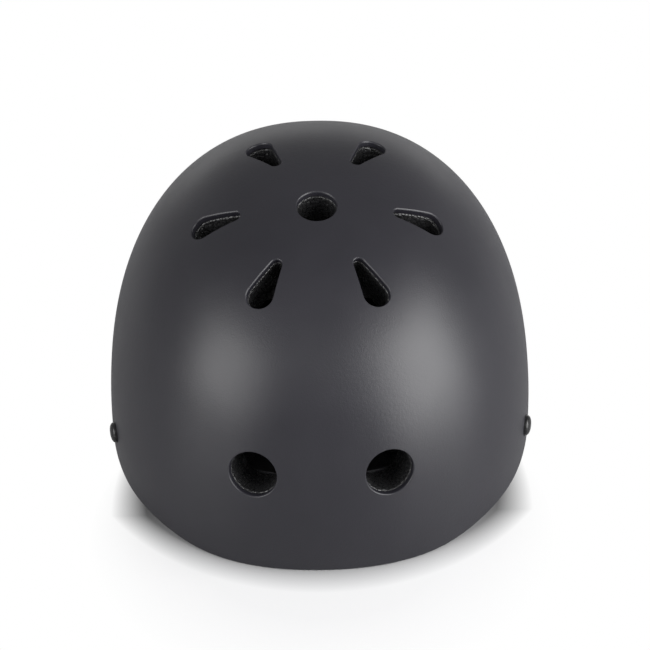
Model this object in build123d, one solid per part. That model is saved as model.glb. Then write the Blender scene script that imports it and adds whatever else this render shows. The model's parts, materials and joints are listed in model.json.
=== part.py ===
import math
import os

from build123d import *

# Skateboard helmet. X is across the head (right, seen from the front, is +X), -Y is the brow and +Z
# is up. The helmet stands on the brow and nape edges of its rim, and the origin is on the ground
# under the middle of its box.

# The shell's driving dimensions. Lengths are in millimetres and angles in degrees.
shell_width = 220.0
shell_length = 257.0
dome_rise = 144.4
widest_level = 17.5
dome_tilt = 12.0
outline_power = 2.22
profile_power = 2.37
tuck_depth = 50.0
tuck_share = 0.03
shell_wall = 3.0
skirt_depth = 56.0
dome_points = 32
dome_steps = 12
skirt_steps = 3
cap_share = 0.04
overrun = 6.0

# The rim seen from the side: its height above the ground at distances behind the helmet's middle.
rim_flat_front = -118.0
rim_brow_rise = 3.3
rim_brow_place = -94.0
rim_temple_rise = 5.0
rim_temple_place = -62.0
rim_ear_rise = 9.0
rim_ear_front = 2.0
rim_ear_back = 36.0
rim_flat_rear = 104.0
rim_edge_radius = 1.0

# Vents. Places are distances from the dome's axis, or heights above its widest section. The crown vent
# and its ring of teardrops lie a little ahead of the axis.
crown_vent_diameter = 20.0
vent_ring_forward = 4.0
side_vent_diameter = 24.5
front_vent_offset = 34.2
front_vent_height = 67.5
rear_vent_offset = 34.2
rear_vent_height = 67.5
drop_vents = 6
drop_ring_radius = 51.4
drop_length = 27.6
drop_wide_radius = 6.8
drop_narrow_radius = 2.9
vent_lip_radius = 1.0

# The foam liner, and the strap notches in its outer face.
liner_gap = 0.3
liner_thickness = 20.0
liner_edge_gap = 6.0
liner_vent_setback = 0.6
notch_depth = 8.4
notch_margin = 3.5
notch_above_anchor = 11.0

# Rivets, washers and nuts that hold the strap ends.
front_anchor_back = -40.0
rear_anchor_back = 56.0
anchor_height = 24.0
rivet_head_diameter = 10.6
rivet_head_height = 1.9
rivet_shaft_diameter = 5.0
spot_face_depth = 0.6
spot_face_margin = 0.4
boss_diameter = 15.0
boss_height = 1.2
shaft_clearance = 0.1
washer_diameter = 14.0
washer_thickness = 0.8
nut_diameter = 12.0
nut_thickness = 2.2
nut_grip = 1.6
thread_clearance = 0.05

# Webbing. The flaps lie level just above the ground, folded in under the rim, and run from the folds,
# set in from the shell's widest section, to the dividers.
webbing_width = 16.0
webbing_thickness = 1.4
webbing_gap = 0.3
strap_level = 3.0
fold_inset = 17.5
fold_radius = 6.4
fold_steps = 4
flap_length = 38.5
divider_back = 4.0
chin_angle = 65.0
sewn_return = 6.0
sewn_slope = 7.0
strap_end_length = 8.5

# The bars that the webbing turns round, and the dividers.
bar_length_gap = 0.7
bar_width = 3.0
bar_thickness = 2.2
turn_radius = 2.2
turn_setback = 0.8
leg_bar_reach = 18.6
chin_bar_reach = 14.2
slot_width = 3.2
divider_side_wall = 2.2
divider_corner = 3.0
divider_hub_diameter = 14.0
ground_gap = 0.3

# The side-release buckle.
buckle_width = 28.0
buckle_height = 9.0
buckle_rail = 3.6
buckle_wall = 1.6
buckle_corner = 2.0
chin_left_run = 36.0
chin_right_run = 50.0
socket_body = 27.0
socket_floor = 3.0
window_length = 9.0
window_setback = 6.5
plug_frame = 10.0
plug_block = 6.0
tongue_width = 6.0
tongue_length = 19.0
tongue_thickness = 3.0
prong_length = 21.0
prong_width = 3.0
prong_root_radius = 1.7
prong_root_gap = 0.12
prong_root_setback = 1.0
prong_clearance = 0.3
barb_length = 7.5
barb_reach = 2.2
tail_length = 16.0

# The keeper ring round the chin strap and its tail.
keeper_length = 5.0
keeper_wall = 1.3
keeper_gap = 0.4
keeper_place = 26.0

# Comfort pads. A band pad has a middle direction and a half sweep, in degrees from the brow.
pad_thickness = 8.0
pad_gap = 0.5
pad_end_share = 0.5
pad_sections = 11
brow_pad_low = 13.0
brow_pad_high = 45.0
brow_pad_sweep = 54.0
side_pad_low = 24.0
side_pad_high = 58.0
side_pad_turn = 90.0
side_pad_sweep = 27.0
rear_pad_low = 16.0
rear_pad_high = 52.0
rear_pad_sweep = 50.0
crown_pad_radius = 33.0
crown_pad_thickness = 9.0
crown_pad_hole_radius = 12.5
crown_pad_lobe_depth = 4.0
crown_pad_edge = 2.0

# Hook patches let into the liner under the pads.
hook_patch_diameter = 18.0
hook_patch_thickness = 1.2
hook_patch_clearance = 0.1
crown_patch_radius = 23.0
crown_patches = 3

half_width = shell_width / 2
half_length = shell_length / 2
fold_axis_out = half_width - fold_inset
divider_out = fold_axis_out - flap_length
liner_outer_inset = shell_wall + liner_gap
liner_inner_inset = liner_outer_inset + liner_thickness
pad_inset = liner_inner_inset + pad_gap
boss_depth = shell_wall + boss_height
webbing_depth = boss_depth + webbing_gap
webbing_centre_depth = webbing_depth + webbing_thickness / 2
washer_depth = webbing_depth + webbing_thickness + webbing_gap
nut_depth = washer_depth + washer_thickness
shaft_end_depth = nut_depth + nut_grip
tilt_cos = math.cos(math.radians(dome_tilt))
tilt_sin = math.sin(math.radians(dome_tilt))
axis_up = Vector(0, -tilt_sin, tilt_cos)
left, right = -1, 1
edge_shares = (0.1, 0.5, 0.9)


def section_share(height, inset):
    # How wide the dome is at a height along its axis, as a share of its widest section.
    if height >= 0:
        return (1 - min(height / (dome_rise - inset), 1) ** profile_power) ** (1 / profile_power)
    return 1 - tuck_share * (height / tuck_depth) ** 2


def length_centre():
    # The middle of the tilted dome's box along Y, above the ground.
    reach = []
    samples = dome_steps * dome_points
    for step in range(-samples, samples):
        height = skirt_depth * step / samples
        if step > 0:
            height = dome_rise * math.sin(math.pi / 2 * step / samples)
        for side in (left, right):
            along = side * half_length * section_share(height, 0)
            if along * tilt_sin + height * tilt_cos + widest_level >= 0:
                reach.append(along * tilt_cos - height * tilt_sin)
    return (min(reach) + max(reach)) / 2


centre_shift = -length_centre()
dome_place = Location((0, centre_shift, widest_level), (dome_tilt, 0, 0))


def outline_point(angle, half_x, half_y):
    turn = math.radians(angle)
    across = math.copysign(abs(math.cos(turn)) ** (2 / outline_power), math.cos(turn))
    along = math.copysign(abs(math.sin(turn)) ** (2 / outline_power), math.sin(turn))
    return half_x * across, half_y * along


def dome(inset):
    # A solid dome, set in from the shell's outer face, with its small flat top inside the crown vent.
    rise = dome_rise - inset
    top_turn = math.asin((1 - cap_share**profile_power) ** (1 / profile_power))
    heights = [-skirt_depth * (skirt_steps - step) / skirt_steps for step in range(skirt_steps)]
    heights += [rise * math.sin(top_turn * step / dome_steps) for step in range(dome_steps + 1)]
    wires = []
    for height in heights:
        share = section_share(height, inset)
        points = []
        for step in range(dome_points):
            angle = 90 + 360 * step / dome_points
            x, y = outline_point(angle, (half_width - inset) * share, (half_length - inset) * share)
            points.append(Vector(x, y, height))
        wires.append(Wire([Edge.make_spline(points, periodic=True)]))
    return dome_place * Solid.make_loft(wires)


def level(point, inset):
    # Below zero inside the dome and above zero outside it.
    back = point.Y - centre_shift
    rise = point.Z - widest_level
    along = back * tilt_cos + rise * tilt_sin
    height = rise * tilt_cos - back * tilt_sin
    spread = abs(point.X / (half_width - inset)) ** outline_power
    spread = (spread + abs(along / (half_length - inset)) ** outline_power) ** (1 / outline_power)
    if height < 0:
        return spread / section_share(height, inset) - 1
    return spread**profile_power + (height / (dome_rise - inset)) ** profile_power - 1


def hit(start, direction, inset):
    # Where a ray from inside the dome leaves it.
    near = 0.0
    far = shell_width + shell_length
    for _ in range(dome_points):
        middle = (near + far) / 2
        if level(start + direction * middle, inset) < 0:
            near = middle
        else:
            far = middle
    return start + direction * near


def outward(point, inset):
    # The dome's normal at a point of its face.
    slopes = []
    for step in (Vector(liner_gap, 0, 0), Vector(0, liner_gap, 0), Vector(0, 0, liner_gap)):
        slopes.append(level(point + step, inset) - level(point - step, inset))
    return Vector(*slopes).normalized()


def from_dome(x, y, height):
    # A point given in the dome's own frame.
    return (dome_place * Location((x, y, height))).position


def vent_plane_above(x, y):
    # The plane on the shell's face above a place in the dome's plan, its X axis away from the crown.
    place = hit(from_dome(x, y, 0), axis_up, 0)
    normal = outward(place, 0)
    away = from_dome(x, y, 0) - from_dome(0, -vent_ring_forward, 0)
    if away.length < liner_gap:
        away = Vector(1, 0, 0)
    return Plane(origin=place, x_dir=away - normal * away.dot(normal), z_dir=normal)


def vent_plane_at(x, height, towards):
    # The plane on the shell's face at a height, ahead of the dome's axis or behind it.
    place = hit(from_dome(x, 0, height), Vector(0, tilt_cos, tilt_sin) * towards, 0)
    normal = outward(place, 0)
    return Plane(origin=place, x_dir=Vector(1, 0, 0) - normal * normal.X, z_dir=normal)


def drop_outline(margin):
    # A teardrop: two circles joined by their shared tangents, the wide one away from the crown.
    gap = drop_length - drop_wide_radius - drop_narrow_radius
    lean = math.asin((drop_wide_radius - drop_narrow_radius) / gap)
    wide = drop_wide_radius + margin
    narrow = drop_narrow_radius + margin
    wide_x = drop_length / 2 - drop_wide_radius
    narrow_x = wide_x - gap
    run = -math.sin(lean)
    rise = math.cos(lean)
    wide_top = (wide_x + wide * run, wide * rise)
    wide_bottom = (wide_x + wide * run, -wide * rise)
    narrow_top = (narrow_x + narrow * run, narrow * rise)
    narrow_bottom = (narrow_x + narrow * run, -narrow * rise)
    edges = [
        Line(wide_top, narrow_top),
        ThreePointArc(narrow_top, (narrow_x - narrow, 0), narrow_bottom),
        Line(narrow_bottom, wide_bottom),
        ThreePointArc(wide_bottom, (wide_x + wide, 0), wide_top),
    ]
    return make_face(edges)


def flared_crown_cutter():
    # The crown vent's cutter, widening round the lip at the shell's face.
    radius = crown_vent_diameter / 2
    lip = vent_lip_radius
    sag = (radius + lip) ** 2 / (2 * half_width)
    depth = shell_wall + overrun
    turned = lip * (1 - math.sqrt(0.5))
    edges = [
        Line((0, -depth), (radius, -depth)),
        Line((radius, -depth), (radius, -sag - lip)),
        ThreePointArc((radius, -sag - lip), (radius + turned, -sag - turned), (radius + lip, -sag)),
        Line((radius + lip, -sag), (radius + lip, overrun)),
        Line((radius + lip, overrun), (0, overrun)),
        Line((0, overrun), (0, -depth)),
    ]
    return vent_plane_above(0, -vent_ring_forward) * revolve(Plane.XZ * make_face(edges), Axis.Z)


def crown_cutter(margin, depth):
    start = vent_plane_above(0, -vent_ring_forward).offset(-depth)
    return extrude(start * Circle(crown_vent_diameter / 2 + margin), depth + overrun, dir=start.z_dir)


def vent_cutters(margin, depth):
    # One prism for each vent round the crown, square to the shell's face.
    vents = []
    for side in (left, right):
        front = vent_plane_at(side * front_vent_offset, front_vent_height, -1)
        rear = vent_plane_at(side * rear_vent_offset, rear_vent_height, 1)
        vents += [(plane, Circle(side_vent_diameter / 2 + margin)) for plane in (front, rear)]
    for turn in range(drop_vents):
        angle = math.radians(360 / drop_vents * turn)
        x = drop_ring_radius * math.cos(angle)
        y = drop_ring_radius * math.sin(angle) - vent_ring_forward
        vents.append((vent_plane_above(x, y), drop_outline(margin)))
    length = depth + overrun
    return [extrude(plane.offset(-depth) * face, length, dir=plane.z_dir) for plane, face in vents]


def below_rim(lift):
    # Everything under the rim's side-view curve, raised by a lift.
    far = shell_length
    rise = [
        (rim_flat_front, lift),
        (rim_brow_place, rim_brow_rise + lift),
        (rim_temple_place, rim_temple_rise + lift),
        (rim_ear_front, rim_ear_rise + lift),
    ]
    fall = [(rim_ear_back, rim_ear_rise + lift), (rim_flat_rear, lift)]
    level_ends = [(1, 0), (1, 0)]
    edges = [
        Line((-far, lift), rise[0]),
        Spline(rise, tangents=level_ends),
        Line(rise[-1], fall[0]),
        Spline(fall, tangents=level_ends),
        Line(fall[-1], (far, lift)),
        Line((far, lift), (far, -far)),
        Line((far, -far), (-far, -far)),
        Line((-far, -far), (-far, lift)),
    ]
    return extrude(Plane.YZ * make_face(edges), shell_width, both=True)


def anchor_plane(side, back):
    # The plane on the shell's face at a rivet: its normal outward, its X axis up the shell.
    place = hit(Vector(0, back, anchor_height), Vector(side, 0, 0), 0)
    normal = outward(place, 0)
    return Plane(origin=place, x_dir=Vector(0, 0, 1) - normal * normal.Z, z_dir=normal)


anchors = {
    "front_left": anchor_plane(left, front_anchor_back),
    "front_right": anchor_plane(right, front_anchor_back),
    "rear_left": anchor_plane(left, rear_anchor_back),
    "rear_right": anchor_plane(right, rear_anchor_back),
}


def disc(plane, diameter, depth, thickness):
    # A disc whose outer face lies at a depth under the shell's face.
    start = plane.offset(-depth - thickness)
    return extrude(start * Circle(diameter / 2), thickness, dir=plane.z_dir)


def largest(body):
    return body.solids().sort_by(SortBy.VOLUME)[-1]


def on_dome(edge, inset):
    # Whether an edge lies on the dome's face and isn't the seam along its middle.
    samples = [edge.position_at(share) for share in edge_shares]
    near = vent_lip_radius / shell_length
    on_face = all(abs(level(point, inset)) < near for point in samples)
    return on_face and any(abs(point.X) > vent_lip_radius for point in samples)


def off_axis(edge):
    arm = edge.position_at(0) - from_dome(0, 0, 0)
    return (arm - axis_up * arm.dot(axis_up)).length


def make_shell():
    cavity = dome(shell_wall)
    spots = []
    for plane in anchors.values():
        cavity -= disc(plane, boss_diameter, shell_wall - overrun, overrun + boss_height)
        spot = rivet_head_diameter + 2 * spot_face_margin
        hole = rivet_shaft_diameter + 2 * shaft_clearance
        spots.append(disc(plane, spot, -overrun, overrun + spot_face_depth))
        spots.append(disc(plane, hole, -overrun, boss_depth + 2 * overrun))
    body = largest(dome(0) - cavity - below_rim(0))
    body = largest(body - spots)
    body = largest(body - flared_crown_cutter())
    body = largest(body - vent_cutters(0, shell_wall + overrun))
    edges = [edge for edge in body.edges() if on_dome(edge, 0)]
    high = anchor_height + rivet_head_diameter
    lips = [edge for edge in edges if edge.center().Z > high and off_axis(edge) > crown_vent_diameter]
    body = body.fillet(vent_lip_radius, lips)
    low = anchor_height - rivet_head_diameter
    rim = [edge for edge in body.edges() if on_dome(edge, 0) and edge.bounding_box().max.Z < low]
    return body.fillet(rim_edge_radius, rim)


# Levels and lengths of the folded webbing. The flaps lie a fold's radius under the fold's axis.
fold_level = strap_level + fold_radius
anchor_fall = anchor_height - fold_level
fold_length = math.pi / 2 * fold_radius
turn_level = strap_level + turn_radius
top_level = turn_level + turn_radius
lap_level = strap_level + webbing_thickness + webbing_gap / 2
bar_low = turn_level - bar_thickness / 2
bar_high = turn_level + bar_thickness / 2
slot_half = webbing_width / 2 + bar_length_gap
bar_outer = bar_width - turn_setback


def leg_slope(back):
    # How far a leg runs along Y for each millimetre of its way down to the divider.
    return (divider_back - back) / (anchor_fall + fold_length + flap_length)


def make_notches():
    # Recesses in the liner's outer face, round the anchors and the legs below them.
    floor = dome(liner_outer_inset + notch_depth)
    notches = []
    for side in (left, right):
        for back in (front_anchor_back, rear_anchor_back):
            slope = leg_slope(back)
            half = webbing_width / 2 * math.hypot(1, slope) + notch_margin
            top = anchor_height + notch_above_anchor
            top_back = back - slope * notch_above_anchor
            low_back = back + slope * (anchor_height + overrun)
            outline = [(top_back - half, top), (top_back + half, top)]
            outline += [(low_back + half, -overrun), (low_back - half, -overrun)]
            face = Plane.YZ * make_face(Polyline(*outline, close=True))
            notches.append(extrude(face, shell_width, dir=(side, 0, 0)) - floor)
    return notches


def azimuth(turn):
    # The level direction at a turn from the brow.
    angle = math.radians(turn)
    return Vector(math.sin(angle), -math.cos(angle), 0)


def liner_plane(start, direction):
    # The plane on the liner's inner face where a ray meets it, its normal outward.
    place = hit(start, direction, liner_inner_inset)
    return Plane(origin=place, z_dir=outward(place, liner_inner_inset))


def patch_planes():
    planes = []
    bands = [
        (0, brow_pad_sweep * 2 / 3, (-1, 0, 1), brow_pad_low + brow_pad_high),
        (180, rear_pad_sweep * 2 / 3, (-1, 0, 1), rear_pad_low + rear_pad_high),
        (side_pad_turn, side_pad_sweep / 2, (-1, 1), side_pad_low + side_pad_high),
        (-side_pad_turn, side_pad_sweep / 2, (-1, 1), side_pad_low + side_pad_high),
    ]
    for middle, spread, places, double_height in bands:
        start = Vector(0, centre_shift, double_height / 2)
        planes += [liner_plane(start, azimuth(middle + spread * place)) for place in places]
    for step in range(crown_patches):
        angle = math.radians(360 / crown_patches * step + 90)
        x = crown_patch_radius * math.cos(angle)
        y = crown_patch_radius * math.sin(angle) - vent_ring_forward
        planes.append(liner_plane(from_dome(x, y, 0), axis_up))
    return planes


def patch_prisms(diameter):
    half_depth = 3 * hook_patch_thickness
    prisms = []
    for plane in patch_planes():
        prisms.append(extrude(plane * Circle(diameter / 2), half_depth, dir=plane.z_dir, both=True))
    return prisms


def make_liner():
    body = dome(liner_outer_inset) - dome(liner_inner_inset) - below_rim(liner_edge_gap)
    depth = liner_inner_inset + overrun
    body = body - [crown_cutter(liner_vent_setback, depth), *vent_cutters(liner_vent_setback, depth)]
    body = body - make_notches()
    pocket_floor = dome(liner_inner_inset - hook_patch_thickness)
    return largest(body - [prism & pocket_floor for prism in patch_prisms(hook_patch_diameter)])


def make_patches():
    outer = dome(liner_inner_inset - hook_patch_thickness + hook_patch_clearance)
    layer = outer - dome(liner_inner_inset)
    prisms = patch_prisms(hook_patch_diameter - 2 * hook_patch_clearance)
    return [largest(prism & layer) for prism in prisms]


def make_rivet(plane):
    # A domed head on a plain shaft, seated on its spot face.
    radius = rivet_head_diameter / 2
    height = spot_face_depth + rivet_head_height
    edge = height / 4
    crown = height - edge
    shaft = rivet_shaft_diameter / 2
    length = shaft_end_depth - spot_face_depth
    crown_radius = (radius**2 + crown**2) / (2 * crown)
    lean = math.asin(radius / crown_radius) / 2
    halfway = (crown_radius * math.sin(lean), height - crown_radius * (1 - math.cos(lean)))
    edges = [
        Line((0, -length), (shaft, -length)),
        Line((shaft, -length), (shaft, 0)),
        Line((shaft, 0), (radius, 0)),
        Line((radius, 0), (radius, edge)),
        ThreePointArc((radius, edge), halfway, (0, height)),
        Line((0, height), (0, -length)),
    ]
    return plane.offset(-spot_face_depth) * revolve(Plane.XZ * make_face(edges), Axis.Z)


def make_washer(plane):
    body = disc(plane, washer_diameter, washer_depth, washer_thickness)
    return body - disc(plane, rivet_shaft_diameter + 2 * shaft_clearance, 0, shaft_end_depth)


def make_nut(plane):
    body = disc(plane, nut_diameter, nut_depth, nut_thickness)
    return body - disc(plane, rivet_shaft_diameter + 2 * thread_clearance, 0, shaft_end_depth)


def leg_plane(side, back):
    # The level plane of a leg's flap: its origin at the fold, its X axis towards the divider.
    slope = leg_slope(back)
    start = divider_back - slope * flap_length
    return Plane(origin=(side * fold_axis_out, start, 0), x_dir=(-side, slope, 0), z_dir=(0, 0, 1))


def leg_run(back):
    return flap_length * math.hypot(1, leg_slope(back)) - leg_bar_reach


def strip(sections):
    # A flat strip through cross sections, each a centre, half a width and a thickness direction.
    wires = []
    for centre, half, normal in sections:
        thick = normal * (webbing_thickness / 2)
        corners = [centre - half - thick, centre + half - thick, centre + half + thick]
        wires.append(Wire.make_polygon([*corners, centre - half + thick], close=True))
    return Solid.make_loft(wires, ruled=True)


def turned_end(run, top_run, lap):
    # The end of a webbing path: round a bar, back over it and down onto the strip.
    slope_end = run - top_run - sewn_slope
    return [
        ThreePointArc((run, strap_level), (run + turn_radius, turn_level), (run, top_level)),
        Line((run, top_level), (run - top_run, top_level)),
        Line((run - top_run, top_level), (slope_end, lap_level)),
        Line((slope_end, lap_level), (slope_end - lap, lap_level)),
    ]


def webbing_along(edges):
    # Webbing that follows a path in the XZ plane.
    face = trace(edges, webbing_thickness)
    return extrude(Plane.XZ * face, webbing_width / 2, both=True)


def make_leg(side, back):
    # A leg from its rivet down the notch, folded in under the rim and sewn round the divider's bar.
    anchor = anchor_plane(side, back)
    slope = leg_slope(back)
    half = webbing_width / 2 * math.hypot(1, slope)
    level_y = anchor.y_dir if anchor.y_dir.Y > 0 else -anchor.y_dir
    down = level_y * slope - anchor.x_dir
    hold = anchor.origin - anchor.z_dir * webbing_centre_depth
    ends = (-strap_end_length, strap_end_length)
    sections = [(hold + down * end, level_y * half, anchor.z_dir) for end in ends]
    fold_top = divider_back - slope * (flap_length + fold_length)
    for step in range(fold_steps + 1):
        turn = math.pi / 2 * step / fold_steps
        out = Vector(side * math.cos(turn), 0, -math.sin(turn))
        centre = Vector(side * fold_axis_out, fold_top + slope * fold_radius * turn, fold_level)
        sections.append((centre + out * fold_radius, Vector(0, half, 0), out))
    flap = leg_plane(side, back)
    run = leg_run(back)
    joint = run - bar_outer - sewn_slope - sewn_return - webbing_thickness
    across = flap.y_dir if flap.y_dir.Y > 0 else -flap.y_dir
    end = flap.from_local_coords(Vector(joint, 0, strap_level))
    sections.append((end, across * (webbing_width / 2), Vector(0, 0, -1)))
    path = [Line((joint, strap_level), (run, strap_level)), *turned_end(run, bar_outer, sewn_return)]
    body = strip(sections) + flap * webbing_along(path)
    return body - disc(anchor, rivet_shaft_diameter + 2 * shaft_clearance, 0, shaft_end_depth)


def chin_plane(side):
    # The level plane of a chin strap: its origin at the divider, its X axis towards the buckle.
    angle = math.radians(chin_angle)
    x_dir = (-side * math.cos(angle), -math.sin(angle), 0)
    return Plane(origin=(side * divider_out, divider_back, 0), x_dir=x_dir, z_dir=(0, 0, 1))


def make_chin_strap(side, run, top_run, lap):
    # A strap sewn round the divider's bar at one end and turned round the buckle's at the other.
    path = [edge.mirror(Plane.YZ) for edge in turned_end(0, bar_outer, sewn_return)]
    path += [Line((0, strap_level), (run, strap_level)), *turned_end(run, top_run, lap)]
    return chin_plane(side) * Pos(chin_bar_reach, 0, 0) * webbing_along(path)


def box(low, high):
    # A block between two corners.
    size = [end - start for start, end in zip(low, high)]
    return Pos(*low) * Box(*size, align=(Align.MIN, Align.MIN, Align.MIN))


def post(x, y, low, high, radius):
    body = Cylinder(radius, high - low, align=(Align.CENTER, Align.CENTER, Align.MIN))
    return Pos(x, y, low) * body


def make_divider(side):
    # A three-armed plate with a slot and a bar for each strap, on a round hub.
    arms = [
        (Vector(side, -leg_slope(front_anchor_back), 0), leg_bar_reach),
        (Vector(side, -leg_slope(rear_anchor_back), 0), leg_bar_reach),
        (chin_plane(side).x_dir, chin_bar_reach),
    ]
    blanks = []
    slots = []
    for direction, reach in arms:
        frame = Plane(origin=(0, 0, 0), x_dir=direction, z_dir=(0, 0, 1))
        slot_end = reach - turn_setback
        length = slot_end + bar_width
        blanks.append(frame * Pos(length / 2, 0) * Rectangle(length, 2 * (slot_half + divider_side_wall)))
        slots.append(frame * Pos(slot_end - slot_width / 2, 0) * Rectangle(slot_width, 2 * slot_half))
    outline = make_hull((blanks[0] + blanks[1] + blanks[2]).edges())
    outline = fillet(outline.vertices(), divider_corner)
    plate = Pos(0, 0, bar_low) * extrude(outline - slots, bar_thickness)
    body = plate + post(0, 0, ground_gap, bar_high, divider_hub_diameter / 2)
    return Pos(side * divider_out, divider_back, 0) * body


def rails(start, end, top):
    # Two rails and a cross bar for a strap that turns at x = 0.
    half = slot_half + buckle_rail
    body = box((start, -half, bar_low), (end, half, bar_high))
    return body - box((turn_setback, -slot_half, 0), (end, slot_half, top))


buckle_half = buckle_width / 2
buckle_top = ground_gap + buckle_height
frame_end = turn_setback + slot_width


def make_socket():
    end = frame_end + socket_body
    inner_half = buckle_half - buckle_wall
    low = ground_gap + buckle_wall
    high = buckle_top - buckle_wall
    body = box((frame_end, -buckle_half, ground_gap), (end, buckle_half, buckle_top))
    body = fillet(body.edges().filter_by(Axis.X), buckle_corner)
    body -= box((frame_end + socket_floor, -inner_half, low), (end, inner_half, high))
    start = end - window_setback - window_length
    body -= box((start, -buckle_half, low), (start + window_length, buckle_half, high))
    return body + rails(-bar_outer, frame_end, buckle_top)


prong_x = frame_end + plug_block - prong_root_setback
prong_y = buckle_half - buckle_wall - prong_clearance - prong_width / 2
prong_low = ground_gap + buckle_wall + prong_clearance
prong_high = buckle_top - buckle_wall - prong_clearance


def make_plug():
    block_end = frame_end + plug_block
    block = box((frame_end, -buckle_half, ground_gap), (block_end, buckle_half, buckle_top))
    body = fillet(block.edges().filter_by(Axis.X), buckle_corner)
    body += rails(-plug_frame, frame_end, buckle_top)
    body -= box((bar_width - plug_frame, -slot_half, 0), (-bar_outer, slot_half, buckle_top))
    middle = ground_gap + buckle_height / 2
    half = tongue_width / 2
    body += box(
        (block_end, -half, middle - tongue_thickness / 2),
        (block_end + tongue_length, half, middle + tongue_thickness / 2),
    )
    seat = prong_root_radius + prong_root_gap
    low = prong_low - prong_root_gap
    high = prong_high + prong_root_gap
    for side in (left, right):
        y = side * prong_y
        body -= post(prong_x, y, low, high, seat)
        body -= box((prong_x, y - seat, low), (block_end, y + seat, high))
    return body


def make_prong(side):
    # A spring arm with a barb near its tip and a round root.
    half = prong_width / 2
    tip = prong_x + prong_root_setback + prong_length
    points = [
        (prong_x, prong_y - half),
        (tip, prong_y - half),
        (tip, prong_y - half / 2),
        (tip - barb_length, prong_y + half + barb_reach),
        (tip - barb_length - half, prong_y + half),
        (prong_x, prong_y + half),
    ]
    arm = Pos(0, 0, prong_low) * extrude(make_face(Polyline(*points, close=True)), prong_high - prong_low)
    prong = arm + post(prong_x, prong_y, prong_low, prong_high, prong_root_radius)
    return prong if side == right else prong.mirror(Plane.XZ)


def make_keeper():
    # A ring round the chin strap and its tail.
    low = strap_level - webbing_thickness / 2 - keeper_gap
    high = lap_level + webbing_thickness / 2 + keeper_gap
    half = webbing_width / 2 + keeper_gap
    outer_half = half + keeper_wall
    outer = box((0, -outer_half, low - keeper_wall), (keeper_length, outer_half, high + keeper_wall))
    outer = fillet(outer.edges().filter_by(Axis.X), keeper_wall)
    return Pos(keeper_place, 0, 0) * (outer - box((0, -half, low), (keeper_length, half, high)))


# A pad's outline across its band: shares of its half height and of its thickness.
pad_outline_shares = [
    (-0.86, -0.1),
    (-0.3, -0.1),
    (0.3, -0.1),
    (0.86, -0.1),
    (1, 0.3),
    (0.84, 0.74),
    (0.36, 0.99),
    (-0.36, 0.99),
    (-0.84, 0.74),
    (-1, 0.3),
]


def pad_section(turn, low, high, share):
    # A pad's closed outline: just into the liner and crowned towards the head.
    out = azimuth(turn)
    half = (high - low) / 2 * (1 + share) / 2
    points = []
    for height_share, depth_share in pad_outline_shares:
        height = (low + high) / 2 + half * height_share
        on_liner = hit(Vector(0, centre_shift, height), out, pad_inset)
        normal = outward(on_liner, pad_inset)
        inward = -(out * normal.dot(out) + Vector(0, 0, normal.Z)).normalized()
        points.append(on_liner + inward * (pad_thickness * depth_share * share))
    return Wire([Edge.make_spline(points, periodic=True)])


def make_band_pad(turn, sweep, low, high):
    # A pad bent round the liner's inner face, tapering at both ends.
    wires = []
    for step in range(pad_sections):
        place = math.sin(math.pi * (step / (pad_sections - 1) - 1 / 2))
        share = pad_end_share + (1 - pad_end_share) * math.sqrt(1 - place**4)
        wires.append(pad_section(turn + sweep * place, low, high, share))
    return largest(Solid.make_loft(wires) & dome(pad_inset))


def make_crown_pad():
    # A lobed ring under the crown, its lobes between the teardrop vents.
    points = []
    steps = 6 * drop_vents
    for step in range(steps):
        angle = 2 * math.pi * step / steps
        radius = crown_pad_radius - crown_pad_lobe_depth * math.cos(drop_vents * angle)
        points.append(Vector(radius * math.cos(angle), radius * math.sin(angle), 0))
    outline = make_face(Edge.make_spline(points, periodic=True)) - Circle(crown_pad_hole_radius)
    low_inset = pad_inset + crown_pad_thickness
    column = dome_place * Pos(0, -vent_ring_forward, 0) * extrude(outline, dome_rise)
    body = largest(column & (dome(pad_inset) - dome(low_inset)))
    lobed = crown_pad_radius - 2 * crown_pad_lobe_depth
    rounded = [edge for edge in body.edges() if on_dome(edge, low_inset) and off_axis(edge) > lobed]
    return body.fillet(crown_pad_edge, rounded)


def save(name, solids):
    shape = solids[0] if len(solids) == 1 else Compound(children=solids)
    export_step(shape, f"parts/{name}.step")


os.makedirs("parts", exist_ok=True)
save("outer_shell", [make_shell()])
save("eps_liner", [make_liner()])
save("hook_patches", make_patches())
save("brow_pad", [make_band_pad(0, brow_pad_sweep, brow_pad_low, brow_pad_high)])
save("rear_pad", [make_band_pad(180, rear_pad_sweep, rear_pad_low, rear_pad_high)])
save("side_pad_left", [make_band_pad(-side_pad_turn, side_pad_sweep, side_pad_low, side_pad_high)])
save("side_pad_right", [make_band_pad(side_pad_turn, side_pad_sweep, side_pad_low, side_pad_high)])
save("crown_pad", [make_crown_pad()])
for place, plane in anchors.items():
    save(f"rivet_{place}", [make_rivet(plane)])
save("rivet_washers", [make_washer(plane) for plane in anchors.values()])
save("rivet_nuts", [make_nut(plane) for plane in anchors.values()])
for name, side in (("left", left), ("right", right)):
    save(f"front_strap_{name}", [make_leg(side, front_anchor_back)])
    save(f"rear_strap_{name}", [make_leg(side, rear_anchor_back)])
    save(f"divider_{name}", [make_divider(side)])
save("chin_strap_left", [make_chin_strap(left, chin_left_run, bar_outer, sewn_return)])
save("chin_strap_right", [make_chin_strap(right, chin_right_run, plug_frame, tail_length)])
socket_place = chin_plane(left) * Pos(chin_bar_reach + chin_left_run, 0, 0)
plug_place = chin_plane(right) * Pos(chin_bar_reach + chin_right_run, 0, 0)
save("buckle_socket", [socket_place * make_socket()])
save("buckle_plug", [plug_place * make_plug()])
save("plug_prong_inner", [plug_place * make_prong(left)])
save("plug_prong_outer", [plug_place * make_prong(right)])
save("strap_keeper", [chin_plane(right) * Pos(chin_bar_reach, 0, 0) * make_keeper()])
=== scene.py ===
import json
import math

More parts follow.
